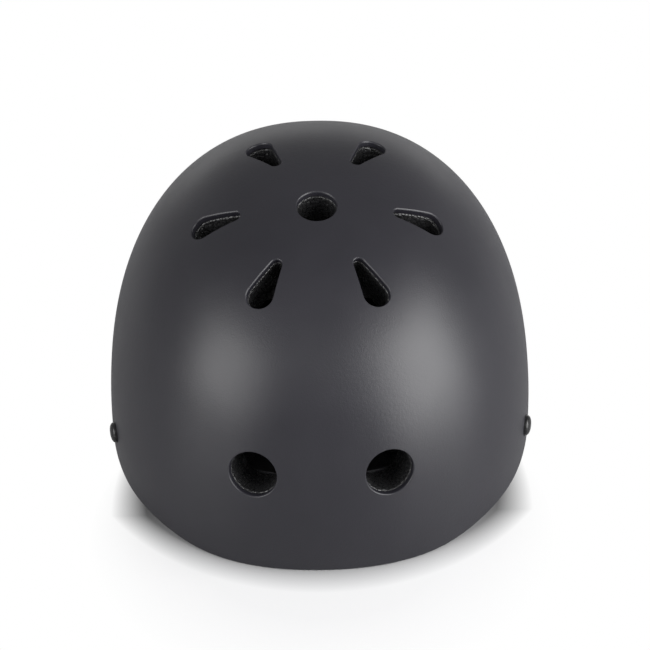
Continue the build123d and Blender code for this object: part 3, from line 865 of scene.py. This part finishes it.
def linerVentRows():
    # a lip at the outer face, a straight wall, and a flare at the inner face
    setback, flare, steps = linerShape["setback"], linerShape["innerFlare"], linerShape["flareSteps"]
    inner, throat = linerShape["inner"], setback + flare * linerShape["throatShare"]
    rows = [(inset, margin + setback, depth)
            for inset, margin, depth in lipRows(linerShape["outer"], linerShape["lip"], steps=4)]
    for step in range(steps):
        turn = math.pi / 2 * step / steps
        rows.append((inner, setback + flare * (1 - math.cos(turn)), -flare * (1 - math.sin(turn))))
    return rows + [(inner, throat, linerShape["throatStart"]), (inner, throat, linerShape["cutPast"])]


def makeLiner():
    cutters = [cutterAlong(plane, outline, linerVentRows()) for plane, outline in ventList()]
    cutters += [notchCutter(side, back) for side, back in rivetPlaces]
    finishWall(domeWall("foamLiner", linerShape), cutters, linerShape, "liner_foam", "eps_liner")


makeLiner()
print("liner made")


def stitchTree():
    # thread stitches along a path whose points hold the cloth's upward direction
    tree = bpy.data.node_groups.new("stitchesAlong", "GeometryNodeTree")
    sizes = dict.fromkeys(("Pitch", "Length", "Thickness"), "Float")
    for name, kind in {"Path": "Geometry", **sizes, "Thread": "Material"}.items():
        tree.interface.new_socket(name, in_out="INPUT", socket_type="NodeSocket" + kind)
    tree.interface.new_socket("Stitches", in_out="OUTPUT", socket_type="NodeSocketGeometry")

    def add(kind, inputs=None, **choices):
        return addNode(tree, kind, inputs, **choices).outputs

    given = add("NodeGroupInput")
    curve = add("GeometryNodeMeshToCurve", {"Mesh": given["Path"]})
    even = add("GeometryNodeResampleCurve", {"Curve": curve["Curve"], "Length": given["Pitch"]}, mode="LENGTH")
    bead = add("GeometryNodeMeshUVSphere", {"Segments": 8, "Rings": 6, "Radius": 0.5})
    tangent = add("GeometryNodeInputTangent")["Tangent"]
    up = add("GeometryNodeInputNamedAttribute", {"Name": "up"}, data_type="FLOAT_VECTOR")["Attribute"]
    along = add("FunctionNodeAlignRotationToVector", {"Vector": tangent}, axis="X")["Rotation"]
    turn = add("FunctionNodeAlignRotationToVector", {"Rotation": along, "Vector": up}, axis="Z", pivot_axis="X")
    across = given["Thickness"]
    scale = add("ShaderNodeCombineXYZ", {"X": given["Length"], "Y": across, "Z": across})
    each = add("GeometryNodeInstanceOnPoints", {"Points": even["Curve"], "Instance": bead["Mesh"],
                                                "Rotation": turn["Rotation"], "Scale": scale["Vector"]})
    real = add("GeometryNodeRealizeInstances", {"Geometry": each["Instances"]})
    smooth = add("GeometryNodeSetShadeSmooth", {"Geometry": real["Geometry"]})
    thread = add("GeometryNodeSetMaterial", {"Geometry": smooth["Geometry"], "Material": given["Thread"]})
    add("NodeGroupOutput", {"Stitches": thread["Geometry"]})
    return tree


threads = {
    "tree": stitchTree(),
    "pitch": 3.1 * mm,
    "length": 2.5 * mm,
    "thickness": 0.55 * mm,
    "colour": (0.02, 0.02, 0.022),
    "dark": (0.012, 0.012, 0.013),
    "light": (0.05, 0.05, 0.054),
    "twistScale": 900.0,
    "twistDepth": 0.05 * mm,
}


def threadPaint():
    made = newMaterial("sewingThread", threads["colour"], 0.6, **{"Sheen Weight": 0.2})
    inputs = {"Vector": placeIn(made), "Scale": threads["twistScale"], "Distortion": 2.0}
    twist = addNode(made, "ShaderNodeTexWave", inputs).outputs["Fac"]
    # painted shade: the colour follows the twist's height, darker in its grooves
    painted(made, twist, threads["dark"], threads["light"])
    bumped(made, twist, threads["twistDepth"])
    return made


threads["paint"] = threadPaint()


def stitched(name, paths, body, sizes=threads):
    # sewn lines: each path is a list of points and of upward directions
    verts, edges, ups = [], [], []
    for points, upward in paths:
        first = len(verts)
        verts += [tuple(point) for point in points]
        ups += [value for direction in upward for value in direction]
        edges += [(first + i, first + i + 1) for i in range(len(points) - 1)]
    mesh = bpy.data.meshes.new(name)
    mesh.from_pydata(verts, edges, [])
    mesh.attributes.new("up", "FLOAT_VECTOR", "POINT").data.foreach_set("vector", ups)
    made = newObject(name, mesh)
    modifier = made.modifiers.new("sewing", "NODES")
    modifier.node_group = threads["tree"]
    inputs = {item.name: item.identifier for item in threads["tree"].interface.items_tree}
    for socket, value in (("Pitch", sizes["pitch"]), ("Length", sizes["length"]),
                          ("Thickness", threads["thickness"]), ("Thread", threads["paint"])):
        modifier[inputs[socket]] = value
    evaluated(made)
    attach(made, body)


# comfort pads: laminated foam pressed flat and sewn along the edge
padShape = {
    "inset": linerShape["inner"] + 0.5 * mm,
    "thickness": 8 * mm,
    "flangeWidth": 3.2 * mm,
    "flangeThickness": 1.3 * mm,
    "shoulder": 8.5 * mm,
    "channelHalf": 6.5 * mm,
    "channelShare": 0.42,
    "puckerDepth": 0.28 * mm,
    "puckerLength": 5 * mm,
    "puckerStart": 1 * mm,
    "puckerFade": 4 * mm,
    "creaseDepth": 0.35 * mm,
    "creaseWidth": 0.7 * mm,
    "corner": 6,
    "pullIn": 0.05,
    "stations": 121,
    "columns": 45,
    "backColumns": 9,
    "endShare": 0.9999,
    "backShare": 0.97,
    "middleRadius": 88 * mm,
    "threadLift": 0.05 * mm,
    "seamSink": 0.25 * mm,
    "seamEnd": 6,
    "channelPoints": 16,
}
seamMargin = padShape["flangeWidth"] / 2
seamLift = padShape["flangeThickness"] + padShape["threadLift"]
puffed = padShape["thickness"] - padShape["flangeThickness"]
bandPads = [
    {"name": "browPad", "node": "brow_pad", "turn": 0, "sweep": 54, "low": 13 * mm, "high": 45 * mm,
     "channels": (-0.34, 0.34)},
    {"name": "rearPad", "node": "rear_pad", "turn": 180, "sweep": 50, "low": 16 * mm, "high": 52 * mm,
     "channels": (-0.34, 0.34)},
    {"name": "leftPad", "node": "side_pad_left", "turn": -90, "sweep": 27, "low": 24 * mm, "high": 58 * mm,
     "channels": (0,)},
    {"name": "rightPad", "node": "side_pad_right", "turn": 90, "sweep": 27, "low": 24 * mm, "high": 58 * mm,
     "channels": (0,)},
]


def shoulderOf(distance, width):
    # how far a puffed edge has risen at a distance from its seam
    share = np.clip(distance / width, 0, 1)
    return np.sqrt(1 - (1 - share) ** 2)


def puffHeight(edge, seams, wrinkles, thickness):
    # a pad's height: flat flange, puffed shoulders, pressed channels and puckers beside the seams
    flange, pressed = padShape["flangeThickness"], padShape["channelShare"]
    inside = edge - padShape["flangeWidth"]
    rise = shoulderOf(inside, padShape["shoulder"])
    for seam in seams:
        rise = rise * (pressed + (1 - pressed) * shoulderOf(seam, padShape["channelHalf"]))
        inside = np.minimum(inside, seam + padShape["puckerStart"])
    fold = np.exp(-np.maximum(inside, 0) / padShape["puckerFade"]) * (inside > 0)
    crease = padShape["creaseDepth"] * np.exp(-((inside / padShape["creaseWidth"]) ** 2))
    heights = flange + (thickness - flange) * rise + wrinkles * fold * padShape["puckerDepth"] - crease
    heights[:, [0, -1]] = flange * 0.5
    return heights


def puckers(x, y, seed):
    # uneven small folds at flat places, by a steady noise
    scale = 1 / padShape["puckerLength"]
    places = np.stack([x, y, 0 * x], axis=-1).reshape(-1, 3)
    folds = [noise.noise(Vector(place) * scale + Vector((seed, 0, 0))) for place in places]
    return np.array(folds).reshape(x.shape)


def crowded(count):
    # shares from -1 to 1 that crowd together at both ends
    return np.sin(np.linspace(-1, 1, count) * math.pi / 2)


def finishPad(name, node, front, back, closed=False):
    made = meshFromRings(name, np.concatenate([front, back], axis=1), closed)
    smoothByAngle(made, 60)
    finishPiece(made, "pad_fabric", node)


def overLiner(starts, out, heights):
    # points at heights over the liner's inner face, and the direction inwards there
    face = castOut(starts, out, padShape["inset"])
    inward = -domeNormals(face, padShape["inset"])
    return face + inward * heights[..., None], inward


def onBand(pad, along, across, heights):
    # at a share of the band's sweep and a distance above its middle
    turn = np.radians(pad["turn"] + pad["sweep"] * along)
    level = (pad["low"] + pad["high"]) / 2 + across
    out = np.stack([np.sin(turn), -np.cos(turn), 0 * turn], axis=-1)
    starts = np.stack([0 * turn, dome["shift"] + 0 * turn, level], axis=-1)
    return overLiner(starts, out, heights)


def padHalf(pad, along):
    corner = padShape["corner"]
    half = (pad["high"] - pad["low"]) / 2
    return half * (1 - abs(along) ** corner) ** (1 / corner) * (1 - padShape["pullIn"] * (1 - along**2))


def makeBandPad(pad, seed):
    along = crowded(padShape["stations"]) * padShape["endShare"]
    reach = math.radians(pad["sweep"]) * padShape["middleRadius"]
    half = padHalf(pad, along)

    def grid(columns):
        return np.repeat(along[:, None], len(columns), axis=1), half[:, None] * columns[None, :]

    s, t = grid(crowded(padShape["columns"]))
    outline = np.concatenate([np.stack([along * reach, half * sign], axis=-1) for sign in (1, -1)])
    flat = np.stack([s * reach, t], axis=-1).reshape(-1, 1, 2)
    edge = np.linalg.norm(flat - outline[None], axis=-1).min(axis=1).reshape(s.shape)
    seams = [abs(s - channel) * reach for channel in pad["channels"]]
    heights = puffHeight(edge, seams, puckers(s * reach, t, seed), padShape["thickness"])
    front, _ = onBand(pad, s, t, heights)
    s, t = grid(np.linspace(1, -1, padShape["backColumns"])[1:-1] * padShape["backShare"])
    back, _ = onBand(pad, s, t, np.zeros_like(t))
    finishPad(pad["name"], pad["node"], front, back)
    sewBandPad(pad, along[padShape["seamEnd"]:-padShape["seamEnd"]])


def sewBandPad(pad, along):
    loop = np.concatenate([along, along[::-1], along[:1]])
    side = np.concatenate([np.ones_like(along), -np.ones_like(along), [1]])
    paths = [onBand(pad, loop, (padHalf(pad, loop) - seamMargin) * side, np.full_like(loop, seamLift))]
    for channel in pad["channels"]:
        half = padHalf(pad, np.array([channel]))[0]
        across = np.linspace(2 * seamMargin - half, half - 2 * seamMargin, padShape["channelPoints"])
        rise = shoulderOf(half - abs(across) - padShape["flangeWidth"], padShape["shoulder"])
        height = padShape["flangeThickness"] + puffed * padShape["channelShare"] * rise
        paths.append(onBand(pad, np.full_like(across, channel), across, height - padShape["seamSink"]))
    stitched(pad["name"] + "Seams", paths, "helmet")


for number, pad in enumerate(bandPads):
    makeBandPad(pad, number * 7.3)  # each with its own puckers

crownPad = {
    "radius": 33 * mm,
    "lobe": 4 * mm,
    "lobeSlant": 0.9,
    "hole": 12.5 * mm,
    "thickness": 8.8 * mm,
    "turns": 192,
    "columns": 35,
    "backColumns": 7,
    "seed": 31.0,
}


def onCrown(turns, radii, heights):
    starts = fromDome(radii * np.cos(turns), radii * np.sin(turns) - vents["ringForward"], 0 * turns)
    return overLiner(starts, axisUp, heights)


def makeCrownPad():
    # a lobed ring whose lobes lie between the teardrop vents
    hole = crownPad["hole"]
    turns = roundTurns(crownPad["turns"])
    outer = crownPad["radius"] - crownPad["lobe"] * np.cos(vents["drops"] * turns)

    def grid(shares):
        return np.repeat(turns[:, None], len(shares), axis=1), hole + (outer - hole)[:, None] * shares[None, :]

    around, radii = grid((crowded(crownPad["columns"]) + 1) / 2)
    edge = np.minimum(radii - hole, (outer[:, None] - radii) * crownPad["lobeSlant"])
    wrinkles = puckers(radii * np.cos(around), radii * np.sin(around), crownPad["seed"])
    front, _ = onCrown(around, radii, puffHeight(edge, [], wrinkles, crownPad["thickness"]))
    around, radii = grid(np.linspace(1, 0, crownPad["backColumns"])[1:-1])
    back, _ = onCrown(around, radii, np.zeros_like(radii))
    finishPad("crownPad", "crown_pad", front, back, closed=True)
    loop = np.append(turns, turns[0])
    rims = [np.append(outer, outer[0]) - seamMargin, np.full_like(loop, hole + seamMargin)]
    paths = [onCrown(loop, rim, np.full_like(loop, seamLift)) for rim in rims]
    stitched("crownPadSeams", paths, "helmet")


makeCrownPad()
print("pads made")


def webbingSection():
    # a strap's cross section in shares of half its width and half its thickness, with firm selvedges
    edge = webbing["thickness"] / webbing["width"]
    turns = np.radians(np.linspace(-90, 90, webbing["edgePoints"]))
    right = [1 - edge, 0] + np.array([edge, 1]) * circle(turns)
    across = np.linspace(1 - edge, edge - 1, webbing["facePoints"])[1:-1]
    half = np.concatenate([right, np.stack([across, np.full_like(across, webbing["faceShare"])], axis=-1)])
    return np.concatenate([half, -half])


def webbingFrom(name, stations):
    # webbing through stations: centres, half widths and normals, with its length and width as UV
    centres, halves, normals = (np.array(row) for row in zip(*stations))
    section = webbingSection()
    rings = centres[:, None] + halves[:, None] * section[None, :, :1]
    rings = rings + normals[:, None] * section[None, :, 1:] * webbing["thickness"] / 2
    made = meshFromRings(name, rings)
    steps = np.linalg.norm(np.diff(centres, axis=0), axis=1)
    lengths = np.concatenate([[0], np.cumsum(steps)])
    along = np.append(np.repeat(lengths, len(section)), [0, lengths[-1]])
    across = np.append(np.tile(section[:, 0] * webbing["width"] / 2, len(lengths)), [0, 0])
    layer = made.data.uv_layers.new(name="webbing")
    for loop in made.data.loops:
        layer.data[loop.index].uv = (along[loop.vertex_index], across[loop.vertex_index])
    return smoothByAngle(made, 50)


def finer(stations):
    # more stations between, on straight lines
    result = [stations[0]]
    for start, end in zip(stations, stations[1:]):
        count = max(1, round(np.linalg.norm(end[0] - start[0]) / webbing["stationStep"]))
        for share in np.linspace(0, 1, count + 1)[1:]:
            centre, half, normal = (first + (last - first) * share for first, last in zip(start, end))
            result.append((centre, half, normal / np.linalg.norm(normal)))
    return result


turnLevel = webbing["level"] + webbing["turnRadius"]
topLevel = turnLevel + webbing["turnRadius"]
lapLevel = webbing["level"] + webbing["thickness"] + webbing["lapGap"]


def turnedEnd(run, topRun, lap):
    # round a bar, back over it and down onto the strap, as level distances and heights
    points, radius = [], webbing["turnRadius"]
    for turn in np.radians(np.linspace(-90, 90, webbing["turnPoints"])):
        points.append((run + radius * math.cos(turn), turnLevel + radius * math.sin(turn)))
    for along, down in webbing["lapEasing"]:
        points.append((run - topRun - webbing["slope"] * along, topLevel + (lapLevel - topLevel) * down))
    points.append((run - topRun - webbing["slope"] - lap, lapLevel))
    return points


def levelStations(origin, xDir, path):
    # stations along a path of level distances and heights
    yDir = np.cross([0, 0, 1], xDir)
    points = np.array(path)
    tangents = np.gradient(points, axis=0)
    tangents /= np.linalg.norm(tangents, axis=1, keepdims=True)
    rows = []
    for (x, z), (runX, runZ) in zip(points, tangents):
        centre = origin + xDir * x + np.array([0, 0, z])
        normal = -xDir * runZ + np.array([0, 0, runX])
        rows.append((centre, yDir * webbing["width"] / 2, normal))
    return rows


sewing = {
    "pitch": 1.75 * mm,
    "length": 1.5 * mm,
    "boxWidth": 6 * mm,
    "boxReach": 2.2 * mm,
    "lift": 0.08 * mm,
    "linePoints": 6,
}


def lapSeam(origin, xDir, middle):
    # a sewn box with a cross, on the lapped end of a strap
    yDir = np.cross([0, 0, 1], xDir)
    height = lapLevel + webbing["thickness"] / 2 + sewing["lift"]
    corners = [(-1, -1), (1, -1), (1, 1), (-1, 1), (-1, -1), (1, 1)]
    points = []
    for (a, b), (c, d) in zip(corners, corners[1:]):
        for share in np.linspace(0, 1, sewing["linePoints"])[:-1]:
            x = middle + sewing["boxReach"] * (a + (c - a) * share)
            y = sewing["boxWidth"] * (b + (d - b) * share)
            points.append(origin + xDir * x + yDir * y + np.array([0, 0, height]))
    return np.array(points), np.tile([0.0, 0, 1], (len(points), 1))


def makeLeg(side, back, name, node, body):
    # from its rivet down the notch, round the fold under the rim and in to the divider's bar
    plane = anchorPlane(side, back)
    slope = legSlope(back)
    longer = math.hypot(1, slope)
    half = webbing["width"] / 2 * longer
    levelY = plane[2] * np.sign(plane[2][1])
    down = levelY * slope - plane[1]
    hold = plane[0] - plane[3] * webbing["depth"]
    ends = (-webbing["endLength"], webbing["endLength"])
    stations = [(hold + down * end, levelY * half, plane[3]) for end in ends]
    foldTop = webbing["dividerBack"] - slope * (webbing["flapLength"] + foldLength)
    for turn in np.linspace(0, math.pi / 2, webbing["foldSteps"]):
        out = np.array([side * math.cos(turn), 0, -math.sin(turn)])
        back = foldTop + slope * webbing["foldRadius"] * turn
        centre = np.array([side * webbing["foldOut"], back, foldLevel])
        stations.append((centre + out * webbing["foldRadius"], np.array([0, half, 0]), out))
    origin = np.array([side * webbing["foldOut"], webbing["dividerBack"] - slope * webbing["flapLength"], 0])
    xDir = np.array([-side, slope, 0]) / longer
    run = webbing["flapLength"] * longer - webbing["legReach"]
    flat = [(run - before, webbing["level"]) for before in (webbing["flatRun"], webbing["flatSetback"])]
    level = levelStations(origin, xDir, [*flat, *turnedEnd(run, webbing["barSetback"], webbing["lap"])])
    sign = np.sign(np.dot(level[0][1], stations[-1][1]))
    level = [(centre, halfWidth * sign, -normal) for centre, halfWidth, normal in level]
    made = webbingFrom(name, finer(stations + level))
    finishPiece(made, "webbing", node, body=None)
    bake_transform(made)
    seam = lapSeam(origin, xDir, run - webbing["barSetback"] - webbing["slope"] - webbing["lap"] / 2)
    stitched(name + "Seam", [seam], body, sewing)


# chin webbing from the divider to the buckle: the right one's end is the free tail
chinStraps = [
    {"side": -1, "hand": "left", "run": 36 * mm, "topRun": webbing["barSetback"], "lap": webbing["lap"]},
    {"side": 1, "hand": "right", "run": 50 * mm, "topRun": 10 * mm, "lap": 16 * mm},
]
chinStart = 6 * mm  # the flat run starts here, past the divider's bar


def makeChinStrap(side, hand, run, topRun, lap):
    angle, body, name = webbing["chinAngle"], f"{hand}_strap", f"chinStrap{hand.title()}"
    xDir = np.array([-side * math.cos(angle), -math.sin(angle), 0])
    origin = np.array([side * dividerOut, webbing["dividerBack"], 0]) + xDir * webbing["chinReach"]
    first = [(-x, z) for x, z in turnedEnd(0, webbing["barSetback"], webbing["lap"])][::-1]
    flat = [(chinStart, webbing["level"]), (run - webbing["flatSetback"], webbing["level"])]
    made = webbingFrom(name, finer(levelStations(origin, xDir, [*first, *flat, *turnedEnd(run, topRun, lap)])))
    finishPiece(made, "webbing", f"chin_strap_{hand}", body=body)
    middle = webbing["barSetback"] + webbing["slope"] + webbing["lap"] / 2
    ends = [middle, run - middle] if lap == webbing["lap"] else [middle]
    seams = [lapSeam(origin, xDir, end) for end in ends]
    stitched(name + "Seams", seams, body, sewing)


for side, hand in ((-1, "left"), (1, "right")):
    for end, back in anchors["backs"].items():
        makeLeg(side, back, f"{end}Leg{hand.title()}", f"{end}_strap_{hand}", f"{hand}_strap")
for strap in chinStraps:
    makeChinStrap(**strap)
print("webbing made")

# rounded edges of the moulded parts: joins flatter than flat vanish, those past sharp are rounded
edges = {"flat": math.radians(1.5), "sharp": math.radians(35), "segments": 2, "smooth": 40}


def refined(name, node, slot, body, bevel):
    # a moulded part with its true edges rounded
    made = newObject(name, nodes[node].data.copy())
    shape = bmesh.new()
    shape.from_mesh(made.data)
    bmesh.ops.remove_doubles(shape, verts=shape.verts, dist=mergeDistance)
    bmesh.ops.dissolve_limit(shape, angle_limit=edges["flat"], verts=shape.verts, edges=shape.edges)
    shape.to_mesh(made.data)
    shape.free()
    edge = made.modifiers.new("edge", "BEVEL")
    edge.width = bevel
    edge.segments = edges["segments"]
    edge.limit_method = "ANGLE"
    edge.angle_limit = edges["sharp"]
    edge.use_clamp_overlap = True
    edge.miter_outer = "MITER_ARC"
    evaluated(made)
    smoothByAngle(made, edges["smooth"])
    finishPiece(made, slot, node, body=body)


moulded = [
    ("dividerLeft", "divider_left", "buckle_plastic", "left_strap", 0.4 * mm),
    ("dividerRight", "divider_right", "buckle_plastic", "right_strap", 0.4 * mm),
    ("buckleSocket", "buckle_socket", "buckle_plastic", "left_strap", 0.35 * mm),
    ("bucklePlug", "buckle_plug", "buckle_plastic", "right_strap", 0.35 * mm),
    ("prongInner", "plug_prong_inner", "buckle_plastic", "inner_prong", 0.3 * mm),
    ("prongOuter", "plug_prong_outer", "buckle_plastic", "outer_prong", 0.3 * mm),
    ("strapKeeper", "strap_keeper", "keeper_rubber", "keeper", 0.3 * mm),
]
for row in moulded:
    refined(*row)
print("buckle and dividers made")

# the camera stands where the photograph was taken from, and leans a little
view = {
    "distance": 1.8,
    "elevation": math.radians(34.42),
    "targetHeight": 75 * mm,
    "lens": 191.4,
    "sensor": 36.0,
    "clip": (0.05, 50),
    "lean": math.radians(1.0),
    "frameSize": 650.0,
    "targetPixel": (318.4, 304.2),
}


def makeCamera():
    data = bpy.data.cameras.new("camera")
    data.sensor_width, data.lens = view["sensor"], view["lens"]
    data.clip_start, data.clip_end = view["clip"]
    camera = newObject("camera", data)
    up = Vector((0, math.sin(view["elevation"]), math.cos(view["elevation"])))
    away = Vector((0, -math.cos(view["elevation"]), math.sin(view["elevation"])))
    camera.location = Vector((0, 0, view["targetHeight"])) + away * view["distance"]
    turned = Matrix((Vector((1, 0, 0)), up, away)).transposed()
    # the target's pixel, turned by the lean, says how far the camera looks aside
    focal = view["lens"] / view["sensor"] * view["frameSize"]
    right, down = ((view["frameSize"] / 2 - pixel) / focal for pixel in view["targetPixel"])
    aside = Matrix.Rotation(-right, 3, "Y") @ Matrix.Rotation(-down, 3, "X")
    camera.rotation_mode = "QUATERNION"
    camera.rotation_quaternion = (turned @ Matrix.Rotation(-view["lean"], 3, "Z") @ aside).to_quaternion()
    scene.camera = camera


makeCamera()

# boxes of light round a point of the helmet: turn from the front, rise and reach
lampAim = Vector((0, 0, 80 * mm))
lamps = [
    {"name": "leftBox", "turn": -57, "rise": 22, "reach": 1.9, "size": (1.4, 1.3), "power": 27},
    {"name": "rightBox", "turn": 62, "rise": 20, "reach": 1.8, "size": (1.7, 1.6), "power": 58},
    {"name": "frontBox", "turn": 6, "rise": 40, "reach": 2.2, "size": (1.5, 0.9), "power": 2},
    {"name": "backBox", "turn": 180, "rise": 5, "reach": 1.9, "size": (2.6, 0.5), "power": 3},
]


def makeLamp(lamp):
    data = bpy.data.lights.new(lamp["name"], "AREA")
    data.shape = "RECTANGLE"
    data.size, data.size_y = lamp["size"]
    data.energy = lamp["power"]
    made = newObject(lamp["name"], data)
    made.visible_camera = False
    turn, rise = math.radians(lamp["turn"]), math.radians(lamp["rise"])
    away = Vector((math.sin(turn) * math.cos(rise), -math.cos(turn) * math.cos(rise), math.sin(rise)))
    made.location = lampAim + away * lamp["reach"]
    made.rotation_mode = "QUATERNION"
    made.rotation_quaternion = away.to_track_quat("Z", "Y")


for lamp in lamps:
    makeLamp(lamp)

# the floor: the two side ramps bound the stretch beside the helmet where the distance that sets its whiteness
# is counted further out, so the painted shade round the footprint is narrower there
room = {
    "fill": 0.32,
    "shown": 1.0,
    "floorColour": (0.42, 0.42, 0.425),
    "floorGloss": 0.25,
    "floorGlow": 0.46,
    "paintedShadeReach": (1.0, 1.13),
    "paintedShadeSideFront": (-80 * mm, -35 * mm),
    "paintedShadeSideRear": (75 * mm, 105 * mm),
    "paintedShadeSideGain": 0.18,
    "mirrorShare": 0.1,
    "footprint": (1 / (dome["halfWidth"] + 5 * mm), 1 / dome["halfLength"], 1),
    "floorSize": 12.0,
    "shadowCentre": (0, 95 * mm, 0),
    "shadowStretch": (1.05, 1, 1),
    "shadowReach": (0.07, 0.125),
}


def makeWorld():
    # even light all round, and a white backdrop for the camera
    world = bpy.data.worlds.new("room")
    scene.world = world
    world.use_nodes = True
    backdrop = world.node_tree.nodes["Background"].inputs
    backdrop["Color"].default_value = (1, 1, 1, 1)
    seen = addNode(world, "ShaderNodeLightPath").outputs["Is Camera Ray"]
    world.node_tree.links.new(spread(world, seen, room["fill"], room["shown"], 0, 1), backdrop["Strength"])


def mixed(made, share, first, second):
    return addNode(made, "ShaderNodeMixShader", {"Fac": share, 1: first, 2: second}).outputs[0]


def glowing(made, strength):
    return addNode(made, "ShaderNodeEmission", {"Strength": strength}).outputs[0]


def reachOf(made, **mapping):
    # how far a point of the floor lies out, once moved and scaled
    place = addNode(made, "ShaderNodeMapping", {"Vector": placeIn(made), **mapping}).outputs["Vector"]
    return addNode(made, "ShaderNodeVectorMath", {0: place}, operation="LENGTH").outputs["Value"]


def floorPaint():
    # white, with the object's shadow near it, partly real shadow and partly a painted shade where the white
    # glow fades towards the footprint, and clear to light and to a camera from below
    paint = newMaterial("floorPaint", room["floorColour"], room["floorGloss"])
    surface = paint.node_tree.nodes["Principled BSDF"].outputs[0]
    rays = addNode(paint, "ShaderNodeLightPath").outputs
    ahead = addNode(paint, "ShaderNodeSeparateXYZ", {"Vector": placeIn(paint)}).outputs["Y"]
    front, rear = (spread(paint, ahead, 0, room["paintedShadeSideGain"], *room[end]) for end in ("paintedShadeSideFront", "paintedShadeSideRear"))
    beside = mathNode(paint, "SUBTRACT", front, rear)
    outside = mathNode(paint, "ADD", reachOf(paint, Scale=room["footprint"]), beside)
    # painted shade: the camera's white and glow fade out towards the helmet's footprint, whatever light falls
    # there
    white = glowing(paint, spread(paint, outside, 0, room["shown"], *room["paintedShadeReach"]))
    glow = glowing(paint, spread(paint, outside, 0, room["floorGlow"], *room["paintedShadeReach"]))
    near = addNode(paint, "ShaderNodeAddShader", {0: surface, 1: glow}).outputs[0]
    reach = reachOf(paint, Location=room["shadowCentre"], Scale=room["shadowStretch"])
    # past the shadow reach the floor is the white glow alone, so its shade round the footprint is all painted;
    # nearer, the lit floor's real shadow shows under the painted shade
    far = spread(paint, reach, 0, 1, *room["shadowReach"])
    mirrored = mixed(paint, mathNode(paint, "MULTIPLY", far, room["mirrorShare"]), surface, white)
    lit = mixed(paint, rays["Is Camera Ray"], mirrored, mixed(paint, far, near, white))
    behind = addNode(paint, "ShaderNodeNewGeometry").outputs["Backfacing"]
    passing = mathNode(paint, "MAXIMUM", rays["Is Shadow Ray"], rays["Is Diffuse Ray"])
    clear = addNode(paint, "ShaderNodeBsdfTransparent").outputs[0]
    whole = mixed(paint, mathNode(paint, "MAXIMUM", behind, passing), lit, clear)
    paint.node_tree.links.new(whole, paint.node_tree.nodes["Material Output"].inputs["Surface"])
    return paint


def makeFloor():
    half = room["floorSize"] / 2
    mesh = bpy.data.meshes.new("floor")
    corners = [(-half, -half, 0), (half, -half, 0), (half, half, 0), (-half, half, 0)]
    mesh.from_pydata(corners, [], [(0, 1, 2, 3)])
    floor = newObject("floor", mesh)
    mesh.materials.append(floorPaint())


makeWorld()
makeFloor()
scene.view_settings.view_transform = "Standard"
print("camera, lamps and floor made")
